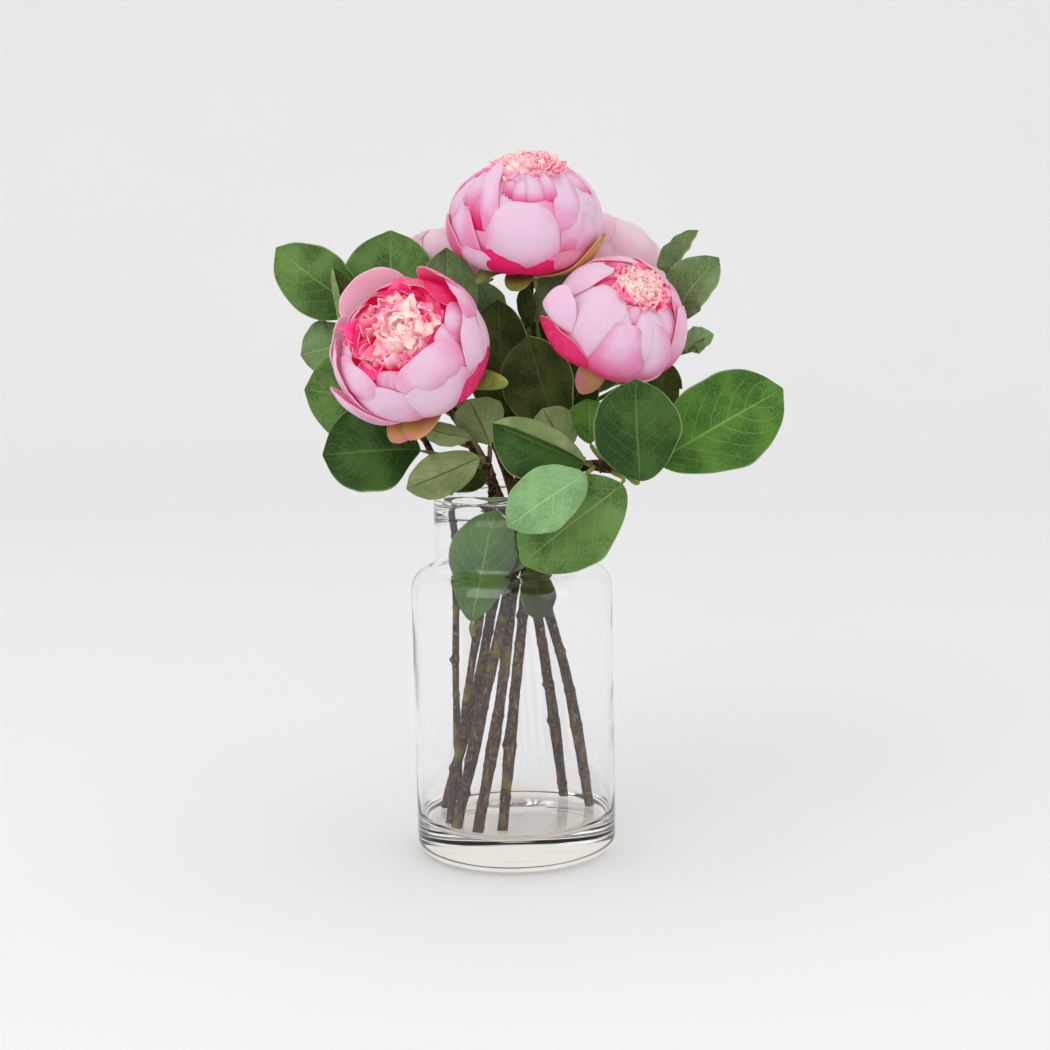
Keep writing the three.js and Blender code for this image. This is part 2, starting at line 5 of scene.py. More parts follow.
import bpy
import numpy as np
from mathutils import Matrix, Vector


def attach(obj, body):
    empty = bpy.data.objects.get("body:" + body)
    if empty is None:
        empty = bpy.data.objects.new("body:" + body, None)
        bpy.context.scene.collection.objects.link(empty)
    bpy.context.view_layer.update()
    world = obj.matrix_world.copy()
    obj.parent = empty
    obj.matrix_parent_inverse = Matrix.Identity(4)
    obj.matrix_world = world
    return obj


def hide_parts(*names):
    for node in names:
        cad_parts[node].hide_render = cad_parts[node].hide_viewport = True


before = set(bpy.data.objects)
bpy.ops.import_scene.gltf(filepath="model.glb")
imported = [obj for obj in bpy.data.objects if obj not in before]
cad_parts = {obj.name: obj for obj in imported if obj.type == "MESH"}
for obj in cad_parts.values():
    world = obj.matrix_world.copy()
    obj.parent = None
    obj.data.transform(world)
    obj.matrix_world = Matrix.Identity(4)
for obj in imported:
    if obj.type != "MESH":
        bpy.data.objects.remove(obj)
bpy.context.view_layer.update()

# ---------------------------------------------------------------- vase
# A clear bottle vase blown in one piece: a thick floor, a straight body, a round shoulder and a short
# neck with a fire-polished bead. It stands on its foot, and the stems stand loose inside it, without water.

MM = 0.001
VASE_RADIUS = 66 * MM
VASE_WALL = 2.8 * MM
FLOOR_TOP = 22 * MM
NECK_RADIUS = 50 * MM
SHOULDER = 176 * MM  # height where the straight body ends
SHOULDER_BEND = 16 * MM
SHOULDER_TURN = 75  # degrees of the shoulder's curve before it sweeps up into the neck
FOOT_BEND = 10 * MM
FLOOR_BEND = 8 * MM
RIM = 239 * MM  # height of the bead's middle
BEAD = 2.8 * MM  # radius of the bead
PUSH_UP = 1.6 * MM  # how far the middle of the underside is pushed up
VASE_SEGMENTS = 144


def arc(centre, size, start, end, steps):
    """Points [radius, height] on a bend from one angle to another, in degrees."""
    angles = np.radians(np.linspace(start, end, steps))
    return np.stack([centre[0] + size * np.cos(angles), centre[1] + size * np.sin(angles)], 1)


def vase_profile():
    turn = math.radians(SHOULDER_TURN)
    middle = VASE_RADIUS - SHOULDER_BEND
    start = middle + SHOULDER_BEND * math.cos(turn)
    sweep = (start - NECK_RADIUS) / (1 - math.cos(turn))  # radius of the sweep into the neck
    sweep_middle = (NECK_RADIUS + sweep, SHOULDER + (SHOULDER_BEND + sweep) * math.sin(turn))
    corner = VASE_RADIUS - VASE_WALL - FLOOR_BEND
    under = [[0, PUSH_UP], [0.3 * VASE_RADIUS, 0.9 * PUSH_UP], [0.55 * VASE_RADIUS, 0.35 * PUSH_UP]]
    return np.concatenate([
        under,
        [[0.68 * VASE_RADIUS, 0]],
        arc((VASE_RADIUS - FOOT_BEND, FOOT_BEND), FOOT_BEND, -90, 0, 12),
        [[VASE_RADIUS, z] for z in np.linspace(FOOT_BEND, SHOULDER, 12)[1:-1]],
        arc((middle, SHOULDER), SHOULDER_BEND, 0, SHOULDER_TURN, 14),
        arc(sweep_middle, sweep, 180 + SHOULDER_TURN, 180, 8)[1:],
        [[NECK_RADIUS, (SHOULDER + RIM) / 2 + 10 * MM]],
        arc((NECK_RADIUS - VASE_WALL / 2, RIM), BEAD, -60, 240, 20),
        [[NECK_RADIUS - VASE_WALL, (SHOULDER + RIM) / 2 + 10 * MM]],
        arc(sweep_middle, sweep + VASE_WALL, 180, 180 + SHOULDER_TURN, 8),
        arc((middle, SHOULDER), SHOULDER_BEND - VASE_WALL, SHOULDER_TURN, 0, 12)[1:],
        [[VASE_RADIUS - VASE_WALL, z] for z in np.linspace(SHOULDER, FLOOR_TOP + FLOOR_BEND, 12)[1:-1]],
        arc((corner, FLOOR_TOP + FLOOR_BEND), FLOOR_BEND, 0, -90, 10),
        [[0.4 * VASE_RADIUS, FLOOR_TOP], [0, FLOOR_TOP]],
    ])


def turned(profile, segments):
    """Vertices and faces of a closed turned solid. The profile starts and ends on the axis."""
    rings = profile[1:-1]
    turns = np.linspace(0, 2 * math.pi, segments, endpoint=False)
    points = [
        (radius * math.cos(turn), radius * math.sin(turn), height)
        for radius, height in rings
        for turn in turns
    ]
    faces = []
    for ring in range(len(rings) - 1):
        for k in range(segments):
            a, b = ring * segments + k, ring * segments + (k + 1) % segments
            faces.append((a, b, b + segments, a + segments))
    first, last = len(points), len(points) + 1
    points += [(0, 0, profile[0][1]), (0, 0, profile[-1][1])]
    top = (len(rings) - 1) * segments
    for k in range(segments):
        after = (k + 1) % segments
        faces.append((first, after, k))
        faces.append((last, top + k, top + after))
    return points, faces


def add_piece(name, points, faces, materials, slot, solid):
    """Makes a smooth piece that stands for a solid of the frame and rides with the vase."""
    mesh = bpy.data.meshes.new(name)
    mesh.from_pydata([tuple(point) for point in points], [], faces)
    for material in materials:
        mesh.materials.append(material)
    mesh.shade_smooth()
    piece = bpy.data.objects.new(name, mesh)
    bpy.context.scene.collection.objects.link(piece)
    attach(piece, "root")
    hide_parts(solid)
    return piece


def new_material(name, roughness, **sockets):
    """A material with one Principled BSDF. Returns the material, its nodes' maker and the shader."""
    material = bpy.data.materials.new(name)
    material.use_nodes = True
    tree = material.node_tree
    shader = tree.nodes["Principled BSDF"]
    shader.inputs["Roughness"].default_value = roughness
    for socket, value in sockets.items():
        shader.inputs[socket.replace("_", " ")].default_value = value
    return material, tree, shader


def node(tree, kind, inputs=(), **settings):
    """Adds a node, sets its properties, and feeds its inputs with values or other nodes' outputs."""
    made = tree.nodes.new(kind)
    for key, value in settings.items():
        setattr(made, key, value)
    for key, value in dict(inputs).items():
        if isinstance(value, bpy.types.NodeSocket):
            tree.links.new(value, made.inputs[key])
        else:
            made.inputs[key].default_value = value
    return made


def math_node(tree, operation, a, b=0.0, clamp=False):
    return node(tree, "ShaderNodeMath", {0: a, 1: b}, operation=operation, use_clamp=clamp).outputs[0]


def plus(tree, a, b):
    return math_node(tree, "ADD", a, b)


def times(tree, a, b):
    return math_node(tree, "MULTIPLY", a, b)


def mix_colour(tree, factor, a, b):
    made = node(tree, "ShaderNodeMix", data_type="RGBA", blend_type="MIX")
    for socket, value in ((made.inputs[0], factor), (made.inputs[6], a), (made.inputs[7], b)):
        if isinstance(value, bpy.types.NodeSocket):
            tree.links.new(value, socket)
        else:
            socket.default_value = value
    return made.outputs[2]


def ramp(tree, factor, low, high, smooth=True):
    """0 below low and 1 above high."""
    made = node(
        tree,
        "ShaderNodeMapRange",
        {"Value": factor, "From Min": low, "From Max": high},
        interpolation_type="SMOOTHSTEP" if smooth else "LINEAR",
    )
    return made.outputs[0]


def noise(tree, vector, scale, detail=3.0, roughness=0.5, distortion=0.0):
    made = node(tree, "ShaderNodeTexNoise", {
        "Vector": vector,
        "Scale": scale,
        "Detail": detail,
        "Roughness": roughness,
        "Distortion": distortion,
    })
    return made.outputs["Fac"]


def bump(tree, height, strength, distance):
    made = node(tree, "ShaderNodeBump", {"Height": height, "Strength": strength, "Distance": distance})
    return made.outputs["Normal"]


def glass_material():
    """Clear glass: a little warm in its thick foot, and faintly rippled by the blowing."""
    glass, tree, shader = new_material("clear glass", 0.0, IOR=1.47, Transmission_Weight=1.0)
    place = node(tree, "ShaderNodeTexCoord").outputs["Object"]
    height = node(tree, "ShaderNodeSeparateXYZ", {0: place}).outputs["Z"]
    foot = ramp(tree, height, 0.040, 0.005)
    colour = mix_colour(tree, foot, (0.99, 0.99, 0.995, 1), (1.0, 0.955, 0.875, 1))
    tree.links.new(colour, shader.inputs["Base Color"])
    ripple = noise(tree, place, 22.0, 1.0)
    tree.links.new(bump(tree, ripple, 0.25, 0.002), shader.inputs["Normal"])
    # The light that falls through the glass keeps nearly all of its strength.
    through = node(tree, "ShaderNodeBsdfTransparent", {"Color": (0.98, 0.975, 0.965, 1)})
    shadow = node(tree, "ShaderNodeLightPath").outputs["Is Shadow Ray"]
    mixed = node(tree, "ShaderNodeMixShader", {0: shadow, 1: shader.outputs[0], 2: through.outputs[0]})
    tree.links.new(mixed.outputs[0], tree.nodes["Material Output"].inputs["Surface"])
    return glass


add_piece("glass_vase", *turned(vase_profile(), VASE_SEGMENTS), [glass_material()], "glass", "vase")

# ---------------------------------------------------------------- stems
# Woody peony stems, cut square and stood on the vase's floor. The bark is brown and slightly ribbed, with
# swollen knots and bud stubs where leaves were stripped. Five end under a bloom; three are leafy twigs.

GAP = 0.3 * MM  # clearance between pieces that rest on each other
CORE = 0.77  # radius of a bloom's core, as a share of the bloom's
CORE_CUT = 0.94  # how far down its underside is cut flat
CALYX_DEPTH = 9 * MM
STEM_RINGS = 16  # the rings of the solid stem, which set where its knots are
KNOT_EVERY = 4
KNOT_SWELL = 1.22
NECK_LENGTH = 22 * MM  # straight length under a bloom
STEM_SIDES = 20
RINGS_A_STEM = 320
STUB_EVERY = 24 * MM  # length of stem between one bud stub and the next
STUB_LENGTH = 1.8 * MM
COLLAR_SWELL = 0.42 * MM  # how far the ring under a stub stands out

# Each bloom: its middle, the way its heart faces, its radius, how flat it is and how high its core rises.
BLOOMS = {
    "top": ((14, 5, 415.5), (0, -0.375, 0.927), 49.5, 0.83, 0.84),
    "left": ((-61, -45, 338), (-0.25, -0.85, 0.46), 48, 0.82, 0.16),
    "right": ((71.5, -30, 350), (0.4, -0.63, 0.66), 42, 0.9, 0.84),
    "back_right": ((64, 76, 377), (0.35, 0.35, 0.87), 48, 0.88, 0.84),
    "back_left": ((-45, 60, 384), (-0.25, 0.15, 0.95), 30, 1.0, 0.8),
}

# Each stem: its radius, the bloom it carries, and its route from the vase's floor, in mm.
STEMS = {
    "stem_top": (3.6, "top", [(-25, -47, 22.3), (-8, -20, 110), (2, 13, 190), (8, 16, 270)]),
    "stem_right": (3.6, "right", [(-39, -35, 22.3), (-18, -22, 110), (2, 2, 190), (18, 12, 255)]),
    "stem_back_right": (3.5, "back_right", [(-9, -40, 22.3), (1, -14, 110), (12, 18, 190), (24, 26, 262)]),
    "stem_left": (3.5, "left", [(33, 42, 22.3), (23, 20, 110), (10, -5, 190), (-14, 10, 250)]),
    "stem_back_left": (3.5, "back_left", [(50, 14, 22.3), (36, 16, 110), (14, 28, 190), (-6, 34, 262)]),
    "leaf_stem_right": (3.4, None, [
        (-49, 18, 22.3), (-24, 11, 110), (-5, -12, 195), (23, -36, 246), (49, -52, 261), (74, -54, 257),
    ]),
    "leaf_stem_front": (2.6, None, [
        (-44, -20, 22.3), (-30, -12, 110), (-16, -15, 190), (-11, -28, 242), (-14, -42, 266),
    ]),
    "leaf_stem_left": (2.3, None, [
        (-37, -4, 22.3), (-38, -8, 110), (-36, -10, 190), (-39, -10, 238), (-62, -4, 292), (-86, 12, 346),
    ]),
}


def draw(number):
    """An even draw between 0 and 1 that is the same every time for the same number."""
    wave = math.sin(number * 12.9898) * 43758.5453
    return wave - math.floor(wave)


def unit(vector):
    return vector / np.linalg.norm(vector)


def curve_points(route, shares):
    """Points on a smooth curve through the route's points, at shares from 0 to 1 of its spans."""
    points = np.array(route, float)
    points = np.concatenate([[2 * points[0] - points[1]], points, [2 * points[-1] - points[-2]]])
    place = np.clip(np.asarray(shares, float), 0, 1) * (len(points) - 3)
    span = np.minimum(place.astype(int), len(points) - 4)
    t = (place - span)[:, None]
    a, b, c, d = (points[span + k] for k in range(4))
    start, end = (c - a) / 2, (d - b) / 2
    return b + start * t + (3 * (c - b) - 2 * start - end) * t**2 + (2 * (b - c) + start + end) * t**3


def curve_ways(route, shares):
    """Unit directions along the same curve."""
    shares = np.asarray(shares, float)
    step = 1e-4
    ways = curve_points(route, shares + step) - curve_points(route, shares - step)
    return ways / np.linalg.norm(ways, axis=1)[:, None]


def underside_depth(radius, squash):
    return radius * CORE * squash * CORE_CUT


def stem_route(name):
    """The stem's route in metres. A flower stem ends under its bloom."""
    _, bloom, route = STEMS[name]
    points = [np.array(point) * MM for point in route]
    if bloom:
        centre, axis, radius, squash, _ = BLOOMS[bloom]
        axis = unit(np.array(axis))
        end = np.array(centre) * MM - axis * (underside_depth(radius * MM, squash) + CALYX_DEPTH + 2 * GAP)
        points += [end - NECK_LENGTH * axis, end]
    return np.array(points)


def stem_radius(name, share):
    """The stem's radius at a share of its route: plain between knots, and swollen at each of them."""
    ring = np.asarray(share) * STEM_RINGS
    from_knot = np.minimum(np.abs(ring % KNOT_EVERY - KNOT_EVERY / 2), 1)
    return STEMS[name][0] * MM * (1 + (KNOT_SWELL - 1) * (1 - from_knot))


def rings_along(points, ways):
    """Two directions across the curve at each point that don't twist along it."""
    side = np.array([1.0, 0, 0]) - ways[0][0] * ways[0]
    sides = []
    for way in ways:
        side = unit(side - side.dot(way) * way)
        sides.append(side)
    sides = np.array(sides)
    return sides, np.cross(ways, sides)


def stem_mesh(name, seed):
    shares = np.linspace(0, 1, RINGS_A_STEM + 1)
    route = stem_route(name)
    points, ways = curve_points(route, shares), curve_ways(route, shares)
    sides, others = rings_along(points, ways)
    length = np.linalg.norm(np.diff(points, axis=0), axis=1).sum()
    turns = np.linspace(0, 2 * math.pi, STEM_SIDES, endpoint=False)
    radius = stem_radius(name, shares)[:, None] * np.ones(STEM_SIDES)
    along = shares[:, None] * length
    # Bark: shallow ribs, uneven thickness, and a collar with a stub on one side at each knot.
    radius *= 0.965 + 0.025 * np.sin(5 * turns + 90 * along + seed) * np.sin(310 * along + 2 * turns + seed)
    radius *= 1 + 0.03 * np.sin(140 * along + seed) + 0.02 * np.sin(523 * along + 3 * turns)
    rough = np.sin(900 * along + 3 * turns + seed) * np.sin(613 * along - 2 * turns + 2 * seed)
    rough = rough + 0.7 * np.sin(1700 * along + 5 * turns) * np.sin(1330 * along - 4 * turns + seed)
    radius *= 1 + 0.035 * rough
    stubs = int(length / STUB_EVERY)
    for k in range(stubs):
        place = (k + 0.3 + 0.5 * draw(seed * 31 + k)) / stubs
        turn = 2 * math.pi * draw(seed * 17 + k + 0.5)
        far = ((shares[:, None] - place) * length / STUB_LENGTH) ** 2
        around = (np.angle(np.exp(1j * (turns - turn))) / 0.5) ** 2
        radius += (0.7 + 1.0 * draw(seed + k * 7.7)) * MM * np.exp(-far - around)
        radius += COLLAR_SWELL * np.exp(-far / 0.5) * np.ones(STEM_SIDES)
    grid = (
        points[:, None]
        + radius[..., None] * np.cos(turns)[:, None] * sides[:, None]
        + radius[..., None] * np.sin(turns)[:, None] * others[:, None]
    )
    grid[..., 2] = np.maximum(grid[..., 2], FLOOR_TOP + GAP)
    vertices = np.concatenate([grid.reshape(-1, 3), [grid[0].mean(0), grid[-1].mean(0)]])
    faces = []
    for ring in range(RINGS_A_STEM):
        for k in range(STEM_SIDES):
            a, b = ring * STEM_SIDES + k, ring * STEM_SIDES + (k + 1) % STEM_SIDES
            faces.append((a, b, b + STEM_SIDES, a + STEM_SIDES))
    foot, tip, last = len(vertices) - 2, len(vertices) - 1, RINGS_A_STEM * STEM_SIDES
    for k in range(STEM_SIDES):
        after = (k + 1) % STEM_SIDES
        faces.append((foot, after, k))
        faces.append((tip, last + k, last + after))
    return vertices, faces


def bark_material():
    """Brown-violet bark with lighter ribs, a few mossy patches, and lighter patches and ochre specks that are
    partly its own tone and partly painted highlight.
    """
    bark, tree, shader = new_material("peony bark", 0.85, Specular_IOR_Level=0.1)
    place = node(tree, "ShaderNodeTexCoord").outputs["Object"]
    long = node(tree, "ShaderNodeMapping", {"Vector": place, "Scale": (1, 1, 0.25)}).outputs[0]
    grain = noise(tree, long, 800.0, 4.0, 0.7)
    patch = noise(tree, long, 210.0, 3.0, 0.65)
    ochre_highlight_speck = noise(tree, place, 420.0, 3.0, 0.6)
    moss = noise(tree, place, 38.0, 2.0, 0.5, 0.6)
    ridge = ramp(tree, grain, 0.38, 0.66)
    colour = mix_colour(tree, ridge, (0.008, 0.004, 0.003, 1), (0.110, 0.056, 0.026, 1))
    # Lighter patches and ochre specks: partly the bark's own tone, partly painted highlight scattered over
    # the stems.
    colour = mix_colour(tree, ramp(tree, patch, 0.52, 0.70), colour, (0.190, 0.105, 0.042, 1))
    colour = mix_colour(tree, ramp(tree, ochre_highlight_speck, 0.58, 0.66), colour, (0.300, 0.190, 0.060, 1))
    colour = mix_colour(tree, ramp(tree, moss, 0.60, 0.72), colour, (0.200, 0.150, 0.020, 1))
    tree.links.new(colour, shader.inputs["Base Color"])
    height = plus(tree, grain, times(tree, patch, 0.6))
    tree.links.new(bump(tree, height, 0.9, 0.0015), shader.inputs["Normal"])
    return bark


bark = bark_material()
for number, name in enumerate(STEMS):
    add_piece(name + "_bark", *stem_mesh(name, number + 1.0), [bark], "bark", name)

# ---------------------------------------------------------------- leaves
# Broad oval leaves, each one blade on a short stalk: green and finely mottled above with pale veins and a
# light margin, grey-green below with brown ribs. The margins wave and roll, and each stalk grows from a stem.

STALK_HALF = 1.2 * MM
STALK_THICK = 2.0 * MM
LEAF_THICK = 0.7 * MM
TIP_HALF = 0.5 * MM
LEAF_WAVE = 1.4 * MM
LEAF_RIPPLE = 0.7 * MM
LEAF_RIBS = 7.5  # side ribs along each half of a blade
RIB_SLANT = 2.7
RIB_BOW = 1.35
RIB_STAGGER = 0.22  # how far one half's ribs stand ahead of the other's
RIB_DEPTH = 0.4 * MM
GROOVE_DEPTH = 0.5 * MM
CREASE_ROLL = 60  # degrees past which a rolled margin is creased and turns over
LEAF_COLUMNS = 28
STALK_ROWS = 7
BLADE_ROWS = 40
FLAT = (1 + math.cos(math.pi / 6)) / 2  # mean distance of the solid stem's sides, as a share of its radius

# Each leaf: its tone, its stem and how far along it the stalk sits, the blade's foot and tip in mm. Then its
# width, the way its upper face looks, its arch in mm, the fold along its midrib in degrees, and how many
# degrees its left and right halves roll up by their margins.
LEAVES = {
    "left_1": ("green", "leaf_stem_left", 0.97, (-93, 18, 356), (-147, 4, 400),
        46, (-0.3, -1, 0.1), 5, 8, (10, 20)),
    "left_2": ("green", "leaf_stem_left", 0.9, (-76, 30, 340), (-75, 34, 410),
        62, (0, -1, 0.1), 4, 6, (16, 16)),
    "left_3": ("olive", "leaf_stem_left", 0.92, (-102, -1, 336), (-110, -7, 387),
        24, (0.5, -0.8, 0), 2, 20, (90, 10)),
    "left_4": ("pale", "leaf_stem_left", 0.87, (-96, 18, 338), (-135, 16, 330),
        38, (0, -1, 0.3), 3, 6, (10, 10)),
    "left_5": ("green", "leaf_stem_left", 0.8, (-80, 4, 302), (-131, -5, 309),
        56, (-0.2, -1, 0), 3, -8, (-10, -10)),
    "left_6": ("dark", "leaf_stem_front", 0.92, (-56, -26, 270), (-118, -32, 269),
        62, (-0.1, -1, 0.45), 4, 8, (10, 16)),
    "left_7": ("pale", "stem_left", 0.7, (-36, 22.8, 330), (-38, 17.3, 398),
        42, (0, -1, 0.3), 6, 14, (16, 16)),
    "mid_1": ("olive", "stem_top", 0.65, (0, 12, 284), (-5, 9, 364),
        52, (-0.3, -1, 0.1), 4, 12, (8, 20)),
    "mid_2": ("frosty", "stem_top", 0.7, (-6, 26, 340), (-18, 20, 376),
        26, (0, -1, 0.2), 2, 8, (6, 6)),
    "mid_3": ("olive", "stem_right", 0.62, (32, -10, 280), (14, -12, 341),
        52, (-0.3, -1, 0.1), 4, 14, (10, 20)),
    "mid_4": ("green", "leaf_stem_front", 0.99, (-18, -50, 267), (-64, -54, 249),
        29, (0, 1, -0.2), 3, 6, (14, 14)),
    "mid_5": ("green", "leaf_stem_front", 0.93, (-12, -34, 274), (-24, -38, 303),
        34, (0.2, 1, -0.1), 3, 8, (20, 20)),
    "mid_6": ("green", "leaf_stem_front", 0.97, (-23, -42, 278), (-54, -46, 287),
        16, (0, 1, -0.4), 3, 8, (16, 16)),
    "mid_7": ("olive", "leaf_stem_front", 0.8, (-15, -28, 249), (-38, -26, 260),
        28, (0, -1, 0.3), 2, 6, (8, 8)),
    "front_1": ("dark", "leaf_stem_right", 0.83, (47, -61, 264), (-9, -66, 290),
        50, (-0.1, -1, 0.1), 6, 10, (16, 110)),
    "front_2": ("green", "leaf_stem_right", 0.79, (38, -42, 270), (22, -36, 296),
        34, (-0.1, 1, -0.1), 3, 8, (16, 16)),
    "front_3": ("fresh", "leaf_stem_right", 0.87, (52, -42, 274), (51, -30, 301),
        26, (0, -1, 0.2), 3, 8, (10, 10)),
    "front_4": ("dark", "leaf_stem_right", 1, (81, -61, 252), (79.5, -60, 315),
        56, (-0.1, -1, 0.1), 4, 6, (18, 14)),
    "front_5": ("fresh", "leaf_stem_right", 0.98, (92, -50, 263), (173, -42, 306),
        62, (0.1, -1, 0.2), 6, 8, (10, 14)),
    "front_6": ("frosty", "leaf_stem_right", 0.84, (47, -79, 259), (-1, -99, 230),
        40, (-0.1, -1, 0.3), 3, 5, (12, 12)),
    "front_7": ("green", "leaf_stem_right", 0.93, (70, -67.5, 251.2), (7, -81, 204.5),
        58, (0.1, -1, 0.3), 4, 6, (12, 4)),
    "right_1": ("pale", "stem_back_right", 0.74, (104, 28, 366), (127, 25, 406),
        26, (-0.8, -0.6, 0.3), 3, 26, (16, 16)),
    "right_2": ("pale", "stem_back_right", 0.7, (104, 16, 345), (138, 4, 388),
        36, (-0.3, -0.9, 0.4), 4, 12, (12, 12)),
    "right_3": ("frosty", "stem_back_right", 0.66, (112, 6, 326), (134, 0, 339),
        20, (0, -0.8, 0.6), 2, 10, (20, 20)),
    "right_4": ("olive", "stem_right", 0.68, (98, 0, 290), (104, 0, 322),
        24, (0, -1, 0.2), 2, 8, (10, 10)),
    "right_5": ("pale", "stem_right", 0.72, (20, 12, 348), (46, 14, 384),
        28, (-0.2, -1, 0.2), 3, 8, (10, 10)),
    "right_7": ("olive", "stem_top", 0.74, (15, 10, 346), (12, 8, 372),
        13, (0, -1, 0), 1, 10, (8, 8)),
    "vase_1": ("fresh", "leaf_stem_front", 0.36, (-26, -22, 158), (-9, -33, 238),
        46, (0.1, -1, 0), 4, -4, (-36, -36)),
    "vase_2": ("olive", "leaf_stem_right", 0.37, (14, -16, 196), (18, -12, 156),
        24, (0.2, -1, 0), 2, 8, (8, 8)),
    "back_1": ("green", "stem_back_left", 0.62, (-26, 56, 276), (-74, 104, 298),
        46, (-0.2, 0.3, 1), 6, 8, (10, 14)),
    "back_2": ("dark", "stem_back_right", 0.56, (36, 54, 268), (60, 112, 280),
        46, (0, 0.3, 1), 6, 8, (12, 10)),
    "back_3": ("fresh", "stem_back_left", 0.55, (2, 56, 262), (-8, 118, 262),
        44, (0, 0.3, 1), 6, 8, (10, 12)),
    "back_4": ("green", "stem_back_right", 0.68, (52, 42, 296), (108, 64, 304),
        44, (0.2, 0.1, 1), 6, 8, (12, 12)),
    "back_5": ("dark", "stem_left", 0.66, (-46, 24, 274), (-104, 46, 282),
        44, (-0.2, 0.1, 1), 6, 8, (10, 12)),
    "back_6": ("olive", "stem_right", 0.64, (44, 23, 274), (104, 31, 272),
        40, (0.2, 0, 1), 6, 8, (12, 10)),
    "back_7": ("fresh", "stem_back_left", 0.74, (-38, 68, 314), (-66, 116, 340),
        42, (-0.4, 0.6, 0.7), 5, 8, (12, 12)),
    "back_8": ("green", "stem_back_right", 0.76, (54, 62, 308), (94, 112, 322),
        44, (0.4, 0.4, 0.8), 5, 8, (12, 12)),
    "back_9": ("olive", "stem_top", 0.62, (14, 46, 286), (22, 52, 352),
        41, (-0.1, -1, 0.1), 4, 8, (10, 14)),
    "back_10": ("green", "leaf_stem_left", 0.84, (-84, 22, 312), (-126, 60, 322),
        40, (-0.5, 0.3, 0.8), 5, 8, (12, 12)),
    "back_11": ("frosty", "stem_back_right", 0.54, (26, 56, 256), (30, 92, 214),
        42, (0, 1, 0.5), 5, 8, (12, 12)),
    "mid_8": ("dark", "stem_right", 0.56, (30, 20, 272), (50, 22, 326),
        38, (0, -1, 0.1), 4, 8, (10, 12)),
}


def blade(grid, thickness):
    """A closed blade about a grid of points: its vertices, its faces and which faces are its back."""
    along = np.gradient(grid, axis=0)
    across = np.gradient(grid, axis=1)
    normal = np.cross(across, along)
    normal /= np.maximum(np.linalg.norm(normal, axis=2), 1e-12)[..., None]
    half = (np.ones(grid.shape[:2]) * thickness)[..., None] / 2
    sides = (grid + normal * half, grid - normal * half)
    vertices = np.concatenate([side.reshape(-1, 3) for side in sides])
    rows, columns = grid.shape[0], grid.shape[1]
    index = np.arange(rows * columns).reshape(rows, columns)
    front = np.stack([index[:-1, :-1], index[:-1, 1:], index[1:, 1:], index[1:, :-1]], 2).reshape(-1, 4)
    back = front[:, ::-1] + rows * columns
    rim = np.concatenate([index[0, :-1], index[:-1, -1], index[-1, :0:-1], index[:0:-1, 0]])
    after = np.roll(rim, -1)
    edge = np.stack([rim, rim + rows * columns, after + rows * columns, after], 1)
    faces = np.concatenate([front, edge, back])
    under = np.concatenate([np.zeros(len(front) + len(edge), bool), np.ones(len(back), bool)])
    return vertices, faces, under


def add_map(piece, name, values):
    """A UV map that holds two values for each vertex, such as the place across and along a blade."""
    mesh = piece.data
    corners = np.empty(len(mesh.loops), int)
    mesh.loops.foreach_get("vertex_index", corners)
    layer = mesh.uv_layers.new(name=name)
    layer.uv.foreach_set("vector", np.asarray(values, np.float32)[corners].ravel())


def stalk_seat(stem, share, foot):
    """Where a leaf's stalk meets its stem: just clear of the bark, on the side that faces the blade."""
    route = stem_route(stem)
    middle = curve_points(route, [share])[0]
    along = curve_ways(route, [min(share, 0.999)])[0]
    way = unit(foot - middle)
    run = way.dot(along)
    outward = unit(way - run * along)
    corner = math.hypot(STALK_HALF, 1.1 * MM)
    return middle + outward * (float(stem_radius(stem, share)) * FLAT + GAP + corner * abs(run))


def rolled(u, start, rolls):
    """How far out and up the points across a unit half width lie when its margins roll up by some degrees.
    Past CREASE_ROLL the margin turns over on a tight bend and lies nearly flat again."""
    fine = np.linspace(0, 1, 401)
    out, up = np.zeros(len(u)), np.zeros(len(u))
    for side, roll in ((-1, rolls[0]), (1, rolls[1])):
        bent = np.clip((fine - 0.42) / 0.26, 0, 1) ** 1.3 * 1.45 if roll > CREASE_ROLL else fine
        angle = start + math.radians(roll) * bent
        here = u * side > 0
        out[here] = np.interp(np.abs(u[here]), fine, np.cumsum(np.cos(angle)) / len(fine))
        up[here] = np.interp(np.abs(u[here]), fine, np.cumsum(np.sin(angle)) / len(fine))
    return out, up


